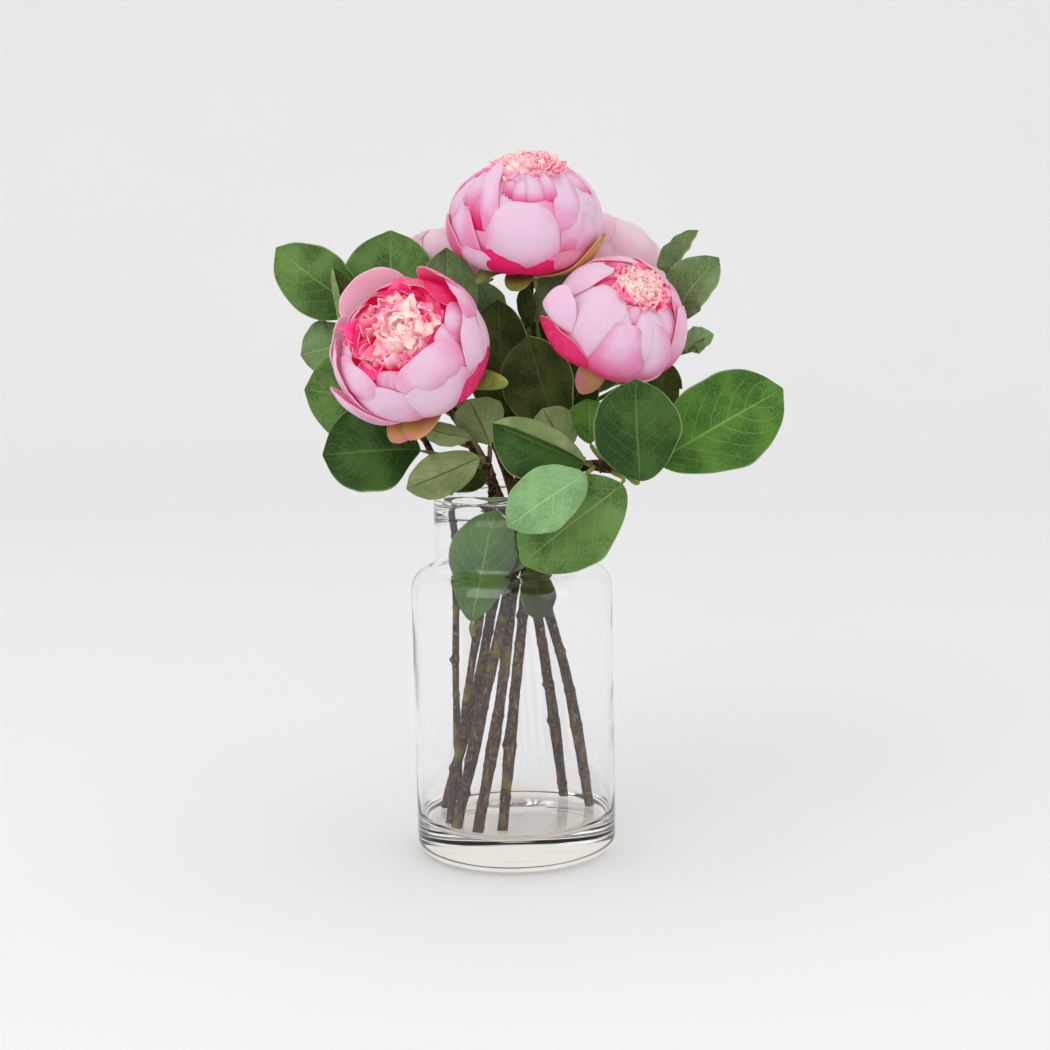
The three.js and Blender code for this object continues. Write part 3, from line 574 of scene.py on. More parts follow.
def leaf_grid(index, stem, share, foot, tip, width, facing, arch, fold, rolls):
    foot, tip, facing = np.array(foot) * MM, np.array(tip) * MM, np.array(facing, float)
    way = unit(tip - foot)
    face = unit(facing - facing.dot(way) * way)
    middle = (foot + tip) / 2 + face * arch * MM
    route = np.array([stalk_seat(stem, share, foot), foot, middle, tip])
    stalk = np.linspace(0, 1 / 3, STALK_ROWS, endpoint=False)
    # The blade's rows crowd together at its foot and tip, where its outline turns fast.
    even = np.linspace(0, 1, BLADE_ROWS)
    along = 0.5 - 0.5 * np.cos(math.pi * even)
    along = 0.35 * even + 0.65 * along
    steps = np.concatenate([stalk, (1 + 2 * along) / 3])
    along = np.concatenate([np.zeros(STALK_ROWS), along])
    points, ways = curve_points(route, steps), curve_ways(route, steps)
    normals = face - (ways @ face)[:, None] * ways
    normals /= np.linalg.norm(normals, axis=1)[:, None]
    acrosses = np.cross(ways, normals)
    u = np.linspace(-1, 1, LEAF_COLUMNS + 1)
    spread = np.sin(math.pi * along**1.14) ** 0.66 * width * MM / 2
    spread *= 1 - 0.35 * np.exp(-(((1 - along) / 0.05) ** 2))
    least = np.where(steps < 1 / 3, STALK_HALF, TIP_HALF)
    half = np.maximum(spread, least)[:, None]
    start = math.radians(fold)
    reach, rise = (half * part for part in rolled(u, start, rolls))
    phase = draw(index)
    sway = np.sin(2 * math.pi * (1.9 * along[:, None] + 0.31 * np.sign(u) + 3 * phase))
    sway = sway + 0.3 * np.sin(2 * math.pi * (4.3 * along[:, None] - 0.27 * np.sign(u) + 7 * phase))
    reach = reach * (1 + 0.035 * u**2 * sway * np.sin(math.pi * along)[:, None])
    swell = np.sin(math.pi * along) * np.sin(2 * math.pi * (1.5 * along + phase))
    wave = LEAF_WAVE * u**2 * swell[:, None]
    # Finer life: the margin ripples, the veins sink a little, and the face dimples between them.
    crest = 5.3 * along[:, None] + 0.3 * np.sign(u) + phase
    ripple = LEAF_RIPPLE * np.abs(u) ** 3 * np.sin(2 * math.pi * crest)
    rib = LEAF_RIBS * along[:, None] - RIB_SLANT * np.abs(u) ** RIB_BOW + RIB_STAGGER * np.sign(u)
    ribs = -RIB_DEPTH * np.cos(2 * math.pi * rib)
    body = (np.sin(math.pi * np.clip(along, 0, 1)) ** 0.5)[:, None]
    groove = -GROOVE_DEPTH * np.exp(-((u / 0.06) ** 2))
    detail = body * (ripple + ribs * np.abs(u) ** 0.5 * (1 - u**2) + groove)
    grid = (
        points[:, None]
        + acrosses[:, None] * (np.sign(u) * reach)[..., None]
        + normals[:, None] * (rise + wave + detail)[..., None]
    )
    thinning = np.clip((steps - 1 / 6) * 4.5, 0, 1)
    thick = np.where(steps < 1 / 6, STALK_THICK, STALK_THICK + (LEAF_THICK - STALK_THICK) * thinning)
    height = np.where(steps < 1 / 3, steps * 3 - 1, along)
    place = np.stack(np.broadcast_arrays(u, height[:, None]), 2)
    return grid, thick[:, None], place


def vein_group():
    """Masks of a leaf's ribs from its blade map: U runs from -1 to 1 across it, and V from foot to tip."""
    group = bpy.data.node_groups.new("leaf veins", "ShaderNodeTree")
    defaults = {"Ribs": LEAF_RIBS, "Slant": RIB_SLANT, "Width": 0.08, "Wander": 0.14, "Midrib Width": 0.055}
    for name, default in defaults.items():
        socket = group.interface.new_socket(name, in_out="INPUT", socket_type="NodeSocketFloat")
        socket.default_value = default
    for name in ("Midrib", "Veins", "Net", "Margin", "Stalk"):
        group.interface.new_socket(name, in_out="OUTPUT", socket_type="NodeSocketFloat")
    given = group.nodes.new("NodeGroupInput").outputs
    result = group.nodes.new("NodeGroupOutput").inputs
    place = node(group, "ShaderNodeUVMap", uv_map="blade").outputs[0]
    parts = node(group, "ShaderNodeSeparateXYZ", {0: place}).outputs
    far = math_node(group, "ABSOLUTE", parts["X"])
    shape = node(group, "ShaderNodeTexCoord").outputs["Object"]
    wander = math_node(group, "SUBTRACT", noise(group, shape, 110.0, 2.0), 0.5)
    wander = times(group, wander, given["Wander"])
    bow = times(group, math_node(group, "POWER", far, RIB_BOW), given["Slant"])
    side = times(group, math_node(group, "SIGN", parts["X"]), RIB_STAGGER)
    count = times(group, parts["Y"], given["Ribs"])
    phase = math_node(group, "SUBTRACT", count, bow)
    phase = plus(group, phase, plus(group, side, times(group, wander, 1.6)))
    turn = math_node(group, "PINGPONG", phase, 0.5)
    veins = ramp(group, turn, given["Width"], 0.0)
    fade = ramp(group, far, 1.0, 0.55)
    foot = ramp(group, parts["Y"], 0.02, 0.12)
    veins = times(group, times(group, veins, fade), foot)
    slim = plus(group, times(group, parts["Y"], -0.03), given["Midrib Width"])
    cells = node(group, "ShaderNodeTexVoronoi", {"Vector": shape, "Scale": 480.0}, feature="DISTANCE_TO_EDGE")
    net = times(group, ramp(group, cells.outputs[0], 0.16, 0.0), foot)
    midrib = ramp(group, plus(group, far, times(group, wander, 0.08)), slim, 0.0)
    margin = ramp(group, far, 0.965, 0.995)
    stalk = ramp(group, parts["Y"], 0.03, -0.02)
    masks = {"Midrib": midrib, "Veins": veins, "Net": net, "Margin": margin, "Stalk": stalk}
    for name, value in masks.items():
        group.links.new(value, result[name])
    return group


def leaf_upper_material(name, dark, light, vein, veins, frost):
    """The upper face: two greens in a fine mottle, pale ribs, a light margin and a fine pale down."""
    material, tree, shader = new_material(name, 0.55, Specular_IOR_Level=0.15)
    masks = node(tree, "ShaderNodeGroup", node_tree=LEAF_VEINS).outputs
    place = node(tree, "ShaderNodeTexCoord").outputs["Object"]
    broad = noise(tree, place, 42.0, 2.0, 0.5)
    fine = noise(tree, place, 620.0, 3.0, 0.7)
    mottle = plus(tree, times(tree, broad, 0.65), times(tree, fine, 0.35))
    colour = mix_colour(tree, ramp(tree, mottle, 0.38, 0.60), dark, light)
    down = ramp(tree, noise(tree, place, 900.0, 2.0, 0.8), 0.42, 0.72)
    colour = mix_colour(tree, times(tree, down, frost), colour, (0.34, 0.46, 0.28, 1))
    colour = mix_colour(tree, times(tree, masks["Net"], veins * 0.35), colour, vein)
    colour = mix_colour(tree, times(tree, masks["Veins"], veins * 0.85), colour, vein)
    colour = mix_colour(tree, times(tree, masks["Midrib"], veins + 0.35), colour, vein)
    colour = mix_colour(tree, times(tree, masks["Margin"], 0.6), colour, (0.36, 0.46, 0.20, 1))
    colour = mix_colour(tree, masks["Stalk"], colour, (0.20, 0.22, 0.05, 1))
    tree.links.new(colour, shader.inputs["Base Color"])
    sunk = plus(tree, masks["Veins"], times(tree, masks["Net"], 0.6))
    height = math_node(tree, "SUBTRACT", times(tree, fine, 0.4), sunk)
    tree.links.new(bump(tree, height, 0.4, 0.0006), shader.inputs["Normal"])
    return material


def leaf_under_material(name):
    """The underside: matt grey-green felt with thin brown ribs."""
    material, tree, shader = new_material(name, 0.75, Specular_IOR_Level=0.1)
    ribs = {"Width": 0.06, "Ribs": 4.5, "Midrib Width": 0.085}
    masks = node(tree, "ShaderNodeGroup", ribs, node_tree=LEAF_VEINS).outputs
    place = node(tree, "ShaderNodeTexCoord").outputs["Object"]
    felt = noise(tree, place, 500.0, 2.0, 0.6)
    cast = plus(tree, times(tree, felt, 0.3), times(tree, noise(tree, place, 55.0, 2.0), 0.7))
    cast = ramp(tree, cast, 0.35, 0.65)
    colour = mix_colour(tree, cast, (0.152, 0.203, 0.074, 1), (0.238, 0.308, 0.130, 1))
    colour = mix_colour(tree, times(tree, masks["Veins"], 0.45), colour, (0.110, 0.115, 0.045, 1))
    colour = mix_colour(tree, times(tree, masks["Midrib"], 0.85), colour, (0.095, 0.060, 0.020, 1))
    colour = mix_colour(tree, masks["Stalk"], colour, (0.16, 0.13, 0.05, 1))
    tree.links.new(colour, shader.inputs["Base Color"])
    height = plus(tree, times(tree, felt, 0.4), masks["Veins"])
    tree.links.new(bump(tree, height, 0.4, 0.0006), shader.inputs["Normal"])
    return material


LEAF_VEINS = vein_group()
# Each tone: its darker and its lighter green, its ribs' colour, and how strong the ribs and the down are.
LEAF_TONES = {
    "green": leaf_upper_material(
        "leaf green",
        (0.045, 0.115, 0.018, 1), (0.125, 0.250, 0.055, 1), (0.26, 0.38, 0.13, 1), 0.4, 0.1,
    ),
    "fresh": leaf_upper_material(
        "leaf fresh green",
        (0.026, 0.095, 0.008, 1), (0.078, 0.200, 0.022, 1), (0.22, 0.38, 0.09, 1), 0.5, 0.06,
    ),
    "dark": leaf_upper_material(
        "leaf dark green",
        (0.012, 0.044, 0.004, 1), (0.042, 0.108, 0.014, 1), (0.12, 0.22, 0.06, 1), 0.4, 0.05,
    ),
    # A lighter copy of the green: partly the leaves' own paler colour, partly painted light on leaves that
    # sit in the bouquet's shade.
    "pale": leaf_upper_material(
        "leaf pale green with painted light",
        (0.080, 0.150, 0.045, 1), (0.175, 0.285, 0.105, 1), (0.34, 0.44, 0.20, 1), 0.5, 0.2,
    ),
    "olive": leaf_upper_material(
        "leaf olive green",
        (0.018, 0.028, 0.003, 1), (0.062, 0.090, 0.014, 1), (0.12, 0.15, 0.04, 1), 0.25, 0.0,
    ),
    "frosty": leaf_upper_material(
        "leaf frosty green",
        (0.120, 0.260, 0.085, 1), (0.230, 0.440, 0.175, 1), (0.42, 0.58, 0.30, 1), 0.5, 0.3,
    ),
}
LEAF_UNDER = leaf_under_material("leaf underside")

for index, (name, (tone, *shape)) in enumerate(LEAVES.items()):
    grid, thick, place = leaf_grid(index + 1, *shape)
    vertices, faces, under = blade(grid, thick)
    materials = [LEAF_TONES[tone], LEAF_UNDER]
    piece = add_piece("leaf_" + name + "_blade", vertices, faces.tolist(), materials, "leaf", "leaf_" + name)
    piece.data.polygons.foreach_set("material_index", under.astype(np.int32))
    add_map(piece, "blade", np.tile(place.reshape(-1, 2), (2, 1)))

# ---------------------------------------------------------------- calyces
# Under each bloom a small green cup sits on the stem's tip and holds the sepals, which lie back against the
# petals. Two of them are broad and leafy, and their tips turn golden and peach: partly their own colour,
# partly painted highlight where they face the light.

CALYX_FOOT = 4.4 * MM
CUP_SHARE = 0.26  # radius of the cup, as a share of the bloom's
SEPAL_THICK = 0.8 * MM
SEPAL_ROWS = 30
SEPAL_COLUMNS = 14
LONG_SEPAL = 80  # degrees of reach past which a sepal follows the bloom's round

# Each bloom's sepals: how far round they stand and how high they reach, in degrees, half their width and how
# far their tips flare, in mm, how golden they are, from 0 to 1 (partly painted highlight), and how many
# degrees their tips lean round.
SEPALS = {
    "top": [
        (350, 52, 9, 3, 0.15, 0),
        (22, 89, 10, 0, 0.8, 40),
        (188, 60, 9, 3, 0.1, 0),
        (305, 44, 7, 3, 0.2, 0),
    ],
    "left": [
        (40, 76, 8, 15, 0.3, 0),
        (352, 75, 15, 7, 0.85, -18),
        (332, 72, 15, 9, 0.95, -10),
        (190, 60, 9, 3, 0.1, 0),
    ],
    "right": [
        (4, 35, 9, 10, 0.9, 0),
        (60, 54, 9, 3, 0.3, 0),
        (160, 60, 9, 3, 0.1, 0),
        (265, 60, 8, 4, 0.9, 0),
    ],
    "back_right": [
        (20, 58, 9, 3, 0.1, 0),
        (110, 60, 9, 4, 0.2, 0),
        (205, 56, 9, 3, 0.1, 0),
        (290, 60, 9, 3, 0.3, 0),
    ],
    "back_left": [
        (0, 70, 7, 3, 0.1, 0),
        (90, 66, 7, 3, 0.2, 0),
        (185, 70, 7, 3, 0.1, 0),
        (275, 66, 7, 3, 0.1, 0),
    ],
}


def bloom_place(name, points):
    """Takes points from a bloom's own frame, where its heart faces +Z, to the vase's frame."""
    centre, axis = BLOOMS[name][:2]
    up = unit(np.array(axis))
    back = unit(np.array([0.0, 1, 0]) - up[1] * up)
    return points @ np.array([np.cross(back, up), back, up]) + np.array(centre) * MM


def sepal_grid(name, turn, reach, half, flare, skew, seed):
    radius, squash = BLOOMS[name][2] * MM, BLOOMS[name][3]
    top = -underside_depth(radius, squash) - GAP
    cup = radius * CUP_SHARE
    size = radius * 1.09 + flare * MM
    end = math.radians(reach)
    route = [
        (0.3 * cup, 0, top - 4.5 * MM),
        (1.15 * cup, 0, top - 2.5 * MM),
        (radius * 0.58, 0, -radius * 0.72 * squash),
        (size * math.sin(end), 0, -size * math.cos(end) * squash),
    ]
    if reach > LONG_SEPAL:
        half_way = math.radians((39 + reach) / 2)
        route.insert(3, (1.1 * radius * math.sin(half_way), 0, -1.1 * radius * math.cos(half_way) * squash))
    v = np.sin(np.linspace(0, math.pi / 2, SEPAL_ROWS + 1))
    u = np.linspace(-1, 1, SEPAL_COLUMNS + 1)
    points, ways = curve_points(route, v), curve_ways(route, v)
    wide = 1.2 * MM + (half - 1.2) * MM * np.sin(math.pi / 2 * np.minimum(v / 0.7, 1)) ** 1.2
    wide *= np.clip(1 - ((v - 0.7) / 0.3).clip(0, 1) ** 2.2, 0.01, 1) ** 0.5
    curl = 1.6 * MM * np.clip((v - 0.7) / 0.3, 0, 1) ** 2
    wave = 0.9 * MM * np.sin(2 * math.pi * (1.3 * v + draw(seed)))[:, None] * np.abs(u) ** 2 * v[:, None]
    cupped = -0.8 * MM * (u**2)[None] * np.sin(math.pi * v)[:, None]
    ribs = 0.12 * MM * np.cos(9 * math.pi * u) * v[:, None]
    off = curl[:, None] + wave + cupped + ribs
    x = points[:, 0, None] + ways[:, 2, None] * off
    z = points[:, 2, None] - ways[:, 0, None] * off
    swing = wide / np.maximum(points[:, 0], 2 * wide)
    angle = np.radians(turn + skew * v[:, None] ** 2) + u[None] * swing[:, None]
    grid = np.stack([x * np.sin(angle), -x * np.cos(angle), z], 2)
    place = np.stack(np.broadcast_arrays(u[None], v[:, None]), 2)
    return grid, place


def cup_mesh(name):
    """The cup, fluted where its sepals leave it."""
    radius, squash = BLOOMS[name][2] * MM, BLOOMS[name][3]
    top = -underside_depth(radius, squash) - GAP
    cup = radius * CUP_SHARE
    profile = [
        (0, top - CALYX_DEPTH),
        (0.7 * CALYX_FOOT, top - CALYX_DEPTH),
        (CALYX_FOOT, top - 0.94 * CALYX_DEPTH),
        (CALYX_FOOT + 0.3 * MM, top - 0.85 * CALYX_DEPTH),
        (0.5 * (cup + CALYX_FOOT) - 0.4 * MM, top - 5.4 * MM),
        (cup - 1 * MM, top - 3 * MM),
        (cup - 0.3 * MM, top - 1.4 * MM),
        (cup, top - 0.5 * MM),
        (cup - 0.5 * MM, top),
        (0, top),
    ]
    points, faces = turned(profile, 60)
    points = np.array(points)
    turn = np.arctan2(points[:, 1], points[:, 0])
    points[:, :2] *= (1 + 0.035 * np.cos(8 * turn) * (points[:, 2] < top - 0.4 * MM))[:, None]
    return points, faces


def sepal_material():
    """Yellow-green flesh that turns golden and then peach, partly as painted highlight, with fine ribs from
    foot to tip.
    """
    sepal, tree, shader = new_material(
        "sepal", 0.5, Subsurface_Weight=0.12, Subsurface_Radius=(0.004, 0.003, 0.001)
    )
    place = node(tree, "ShaderNodeTexCoord").outputs["Object"]
    blade_map = node(tree, "ShaderNodeUVMap", uv_map="blade").outputs[0]
    along = node(tree, "ShaderNodeSeparateXYZ", {0: blade_map}).outputs
    tone_map = node(tree, "ShaderNodeUVMap", uv_map="tone").outputs[0]
    gold_and_highlight = node(tree, "ShaderNodeSeparateXYZ", {0: tone_map}).outputs
    patch = noise(tree, place, 90.0, 3.0, 0.6)
    green = mix_colour(tree, ramp(tree, patch, 0.3, 0.7), (0.115, 0.190, 0.030, 1), (0.30, 0.36, 0.07, 1))
    warm = mix_colour(tree, ramp(tree, patch, 0.35, 0.65), (0.52, 0.36, 0.06, 1), (0.66, 0.34, 0.16, 1))
    blush = ramp(tree, noise(tree, place, 60.0, 2.0), 0.5, 0.7)
    flush = mix_colour(tree, blush, warm, (0.68, 0.22, 0.24, 1))
    # The gold is partly the sepal's own colour and partly painted highlight on the sepals that face the
    # light.
    spread = plus(tree, times(tree, gold_and_highlight["X"], 1.15), times(tree, patch, 0.5))
    spread = math_node(tree, "SUBTRACT", spread, times(tree, along["Y"], 0.25))
    colour = mix_colour(tree, ramp(tree, spread, 0.4, 0.85), green, flush)
    fibre = math_node(tree, "SINE", times(tree, along["X"], 26.0))
    colour = mix_colour(tree, ramp(tree, fibre, 0.5, 3.2), colour, (0.06, 0.09, 0.015, 1))
    tree.links.new(colour, shader.inputs["Base Color"])
    height = plus(tree, times(tree, fibre, 0.4), patch)
    tree.links.new(bump(tree, height, 0.4, 0.0006), shader.inputs["Normal"])
    return sepal


def joined(parts):
    """Joins blades and turned pieces into one: vertices, faces, back faces, and two maps."""
    vertices, faces, under, place, tone = [], [], [], [], []
    start = 0
    for part_vertices, part_faces, part_under, part_place, part_tone in parts:
        vertices.append(part_vertices)
        faces += [tuple(start + k for k in face) for face in part_faces]
        under.append(part_under)
        place.append(part_place)
        tone.append(np.tile(np.asarray(part_tone, float), (len(part_vertices), 1)))
        start += len(part_vertices)
    vertices, under, place, tone = (np.concatenate(part) for part in (vertices, under, place, tone))
    return vertices, faces, under, place, tone


def sheet_part(grid, thickness, place, tone):
    vertices, faces, under = blade(grid, thickness)
    return vertices, faces.tolist(), under, np.tile(place.reshape(-1, 2), (2, 1)), tone


def plain_part(vertices, faces, tone):
    vertices = np.asarray(vertices, float)
    return vertices, faces, np.zeros(len(faces), bool), np.zeros((len(vertices), 2)), tone


sepal = sepal_material()
for number, (name, rows) in enumerate(SEPALS.items()):
    parts = [plain_part(*cup_mesh(name), (0.0, 0.5))]
    for k, (turn, reach, half, flare, gold_and_highlight, skew) in enumerate(rows):
        grid, place = sepal_grid(name, turn, reach, half, flare, skew, 10 * number + k)
        parts.append(sheet_part(grid, SEPAL_THICK, place, (gold_and_highlight, draw(k + number))))
    vertices, faces, under, place, tone = joined(parts)
    vertices = bloom_place(name, vertices)
    piece = add_piece("calyx_" + name + "_sepals", vertices, faces, [sepal], "sepal", "calyx_" + name)
    add_map(piece, "blade", place)
    add_map(piece, "tone", tone)

# ---------------------------------------------------------------- blooms
# Double peonies: broad cupped petals of pale lilac-pink in overlapping rings, paler mid-petal by a painted
# highlight, deeper pink inside and where they are tucked (partly their own pink, partly painted shade), round
# a heart of small crimped petals in cream, peach and coral. All grow from one core.

PETAL_THICK = 0.7 * MM
PETAL_ROWS = 28
PETAL_COLUMNS = 24
RUFFLE_THICK = 0.6 * MM
RUFFLE_ROWS = 11
RUFFLE_COLUMNS = 10
LINING_ROOT = 30  # degrees up from the underside where a lining petal leaves the core
COLLAR_ROOT = 110  # and where a small petal beside the heart does
GOLDEN_TURN = 137.5  # degrees from each heart petal to the next

# Each bloom's petals, by how many degrees up from the underside they leave the core: how far round they
# stand, how high they reach and half their width, in degrees, their share of the bloom's radius, their lip
# and lean in mm, how deep their pink is (partly painted shade on tucked petals, and below 0 painted light on
# shaded ones), how many degrees their tip leans round, and how far up they are widest.
PETALS = {
    "top": {
        30: [
            (357, 130, 29, 0.995, 0, 0.3, -0.12, 0, 0.62),
            (2, 142, 27, 0.95, 0, 0.5, -0.05, 0, 0.66),
            (303, 122, 26, 0.975, 0, 0.8, -0.05, -16, 0.5),
            (290, 138, 22, 0.95, 1, 0.8, 0.05, -10, 0.6),
            (55, 134, 31, 0.96, 0, -0.7, 0.05, 8, 0.6),
            (64, 119, 26, 0.985, 0, -0.7, 0.08, 6, 0.5),
            (98, 134, 30, 0.96, 0, 1.2, 0.1, 0, 0.6),
            (140, 130, 32, 0.98, -1, 2, 0.15, 0, 0.6),
            (186, 128, 33, 0.97, -1, 2, 0.1, 0, 0.6),
            (234, 130, 32, 0.98, -1, 2, 0.15, 0, 0.6),
            (262, 138, 28, 0.955, -1, 1, 0.15, 0, 0.6),
            (287, 99, 22, 1.02, 2, 0.6, 0.4, -6, 0.5),
            (318, 84, 20, 1.05, 0, 0.6, -0.05, 0, 0.55),
            (340, 86, 26, 1.045, -1, 0.6, 0.85, 0, 0.55),
            (8, 77, 28, 1.06, -1, 0.6, 0.9, 0, 0.55),
            (32, 82, 24, 1.05, -1, 0.6, 0.45, 0, 0.55),
        ],
        80: [
            (334, 162, 9, 0.94, 6, 0, -0.3, -34, 0.48),
            (300, 150, 17, 0.925, 2, 0, 0.15, -10, 0.5),
            (322, 150, 15, 0.915, 1, 0, 0.1, -10, 0.5),
            (339, 153, 8, 0.925, 0, 0.5, 0.0, 0, 0.6),
            (34, 156, 13, 0.955, 1, 0, -0.3, 24, 0.5),
            (74, 154, 18, 0.91, 2, 1, 0.2, 0, 0.6),
            (112, 152, 20, 0.9, 2, 1, 0.35, 0, 0.6),
            (160, 150, 22, 0.9, 2, 1, 0.35, 0, 0.6),
            (208, 152, 20, 0.9, 2, 1, 0.35, 0, 0.6),
            (252, 153, 18, 0.9, 2, 1, 0.3, 0, 0.6),
            (282, 156, 14, 0.9, 2, 1, 0.3, 0, 0.6),
        ],
        110: [
            (350, 161, 8, 0.925, 2, 0, 0.0, 6, 0.66),
            (4, 164, 7.5, 0.93, 2, 0, 0.1, -4, 0.66),
            (18, 162, 8, 0.925, 2, 0, 0.0, 4, 0.66),
            (33, 160, 9, 0.93, 2, 0, 0.05, -4, 0.66),
            (355, 153, 8, 0.94, 2, 0, 0.05, 4, 0.7),
            (11, 155, 8.5, 0.945, 2, 0, -0.05, -3, 0.7),
            (27, 153, 9, 0.945, 2, 0, 0.0, 3, 0.7),
            (46, 154, 9, 0.935, 2, 0, 0.05, 0, 0.7),
            (342, 168, 8, 0.92, 1, 0.5, 0.05, 0, 0.66),
            (24, 170, 9, 0.92, 1, 0.5, 0.05, 0, 0.66),
        ],
    },
    "left": {
        30: [
            (318, 122, 34, 0.975, 0, 1, -0.2, 0, 0.7),
            (3, 121, 32, 0.99, 0, 1, -0.12, 0, 0.68),
            (63, 120, 31, 0.985, 1, -1, -0.12, 0, 0.6),
            (72, 100, 27, 1.01, 2, -1, 0.05, 0, 0.6),
            (93, 122, 29, 0.96, 4, 1.5, 0.1, 0, 0.62),
            (122, 120, 26, 0.93, 8, 1, 0.5, 0, 0.6),
            (155, 103, 24, 0.9, 2, 2, 0.4, 0, 0.6),
            (187, 118, 30, 0.93, 12, 1, -0.6, 0, 0.66),
            (236, 111, 27, 0.96, 4, 2, -0.5, 0, 0.6),
            (262, 119, 30, 0.96, 4, 2, 0.0, 0, 0.6),
            (284, 106, 26, 0.985, 3, 1.5, 0.1, -6, 0.6),
            (301, 101, 27, 1.09, 3, -2.5, -0.1, -16, 0.55),
            (34, 92, 30, 1.05, 0, 1, 0.75, 0, 0.6),
        ],
        80: [
            (10, 144, 31, 0.935, 3, 1, -0.2, 0, 0.66),
            (327, 137, 15, 0.86, 1, 0.5, 0.3, 0, 0.62),
            (289, 132, 28, 0.93, 1, 1, -0.15, 0, 0.62),
            (258, 127, 18, 0.83, 1, 1, 0.1, 0, 0.6),
            (236, 122, 16, 0.8, 1, 1, 0.35, 0, 0.6),
            (212, 126, 16, 0.8, 2, 1, 0.4, 0, 0.6),
            (188, 124, 16, 0.8, 2, 1, 0.65, 0, 0.6),
            (164, 128, 16, 0.82, 3, 1, 0.35, 0, 0.6),
            (138, 134, 17, 0.84, 3, 1, 0.6, 0, 0.6),
            (108, 136, 19, 0.86, 3, 0.5, 0.75, 0, 0.6),
            (70, 132, 20, 0.88, 1, 1, 0.1, 0, 0.6),
            (50, 138, 18, 0.84, 1, 1, 0.1, 0, 0.6),
        ],
    },
    "right": {
        30: [
            (327, 153, 34, 0.945, 0, 0.5, -0.25, 0, 0.64),
            (9, 134, 29, 0.985, 0, 0.8, 0.02, 0, 0.66),
            (33, 154, 33, 0.935, 0, 1, -0.15, 0, 0.64),
            (42, 138, 27, 0.965, 0, 1, 0.0, 0, 0.64),
            (87, 140, 25, 0.98, 4, 1, 0.2, 6, 0.5),
            (118, 148, 30, 0.96, 2, 1.5, 0.2, 0, 0.6),
            (165, 152, 32, 0.975, 2, 2, 0.25, 0, 0.6),
            (212, 150, 32, 0.96, 2, 2, 0.2, 0, 0.6),
            (262, 149, 33, 0.95, 1, 1, -0.25, 0, 0.64),
            (326, 92, 32, 1.1, 2, -5, 0.75, 0, 0.5),
            (0, 78, 34, 0.98, 0, 1, 0.2, 0, 0.6),
            (48, 94, 30, 0.98, 0, 1, 0.05, 0, 0.6),
        ],
        72: [(314, 118, 15, 1.14, 2, -6, -0.6, -10, 0.46)],
        80: [
            (8, 154, 20, 0.9, 0, 0.5, 0.1, 0, 0.6),
            (70, 152, 22, 0.9, 1, 1, 0.2, 0, 0.6),
            (116, 152, 24, 0.9, 2, 1, 0.35, 0, 0.6),
            (166, 152, 24, 0.9, 2, 1, 0.4, 0, 0.6),
            (216, 152, 24, 0.9, 2, 1, 0.3, 0, 0.6),
            (258, 152, 20, 0.88, 1, 1, 0.2, 0, 0.6),
        ],
        110: [
            (276, 152, 11, 0.88, 1, 1, 0.7, 0, 0.6),
            (292, 156, 9, 0.87, 1, 1, 0.6, 0, 0.6),
            (98, 150, 10, 0.88, 2, 1, 0.7, 0, 0.6),
            (240, 154, 10, 0.9, 2, 1, 0.5, 0, 0.6),
        ],
    },
    "back_right": {
        30: [
            (10, 150, 36, 0.96, 1, 1.5, 0.1, 0, 0.6), (62, 146, 36, 0.97, 1, 1.5, 0.0, 0, 0.6),
            (114, 150, 36, 0.96, 2, 1.5, 0.1, 0, 0.6), (164, 146, 36, 0.97, 2, 1.5, 0.0, 0, 0.6),
            (216, 150, 36, 0.96, 2, 1.5, 0.1, 0, 0.6), (266, 146, 36, 0.97, 2, 1.5, 0.0, 0, 0.6),
            (318, 148, 36, 0.97, 2, 1.5, 0.1, 0, 0.6), (36, 118, 32, 0.99, 0, 1, 0.05, 0, 0.6),
            (140, 116, 32, 0.99, 0, 1, 0.1, 0, 0.6), (245, 118, 32, 0.99, 0, 1, 0.05, 0, 0.6),
            (342, 106, 30, 0.995, 0, 1, 0.05, 0, 0.6),
        ],
        80: [
            (30, 164, 31, 0.92, 1, 1, 0.1, 0, 0.6), (122, 166, 31, 0.92, 1, 1, 0.1, 0, 0.6),
            (212, 164, 31, 0.92, 1, 1, 0.1, 0, 0.6), (302, 166, 31, 0.92, 1, 1, 0.1, 0, 0.6),
        ],
    },
    "back_left": {
        30: [
            (15, 152, 40, 0.9, 1, 1.5, 0.1, 0, 0.6), (88, 148, 42, 0.9, 2, 1.5, 0.1, 0, 0.6),
            (160, 150, 42, 0.9, 2, 1.5, 0.1, 0, 0.6), (232, 148, 42, 0.88, 2, 1.5, 0.0, 0, 0.6),
            (304, 156, 40, 0.88, 2, 1.5, 0.0, 0, 0.6),
        ],
        80: [
            (45, 164, 30, 0.9, 1, 1, 0.1, 0, 0.6), (165, 164, 30, 0.9, 1, 1, 0.1, 0, 0.6),
            (285, 164, 30, 0.9, 1, 1, 0.1, 0, 0.6),
        ],
    },
}
# How high the lining reaches, in degrees: six plain petals under the others, which close the gaps.
LINING = {"top": 124, "left": 108, "right": 128, "back_right": 124, "back_left": 130}
# The ring of small petals round each heart: how many, how high they reach and half their width, in degrees,
# their share of the radius, and how deep their pink is.
COLLARS = {
    "top": (14, 158, 11, 0.89, 0.3),
    "left": (9, 138, 15, 0.78, 0.7),
    "right": (14, 156, 11, 0.87, 0.3),
    "back_right": (8, 168, 13, 0.9, 0.2),
    "back_left": (6, 168, 16, 0.86, 0.1),
}
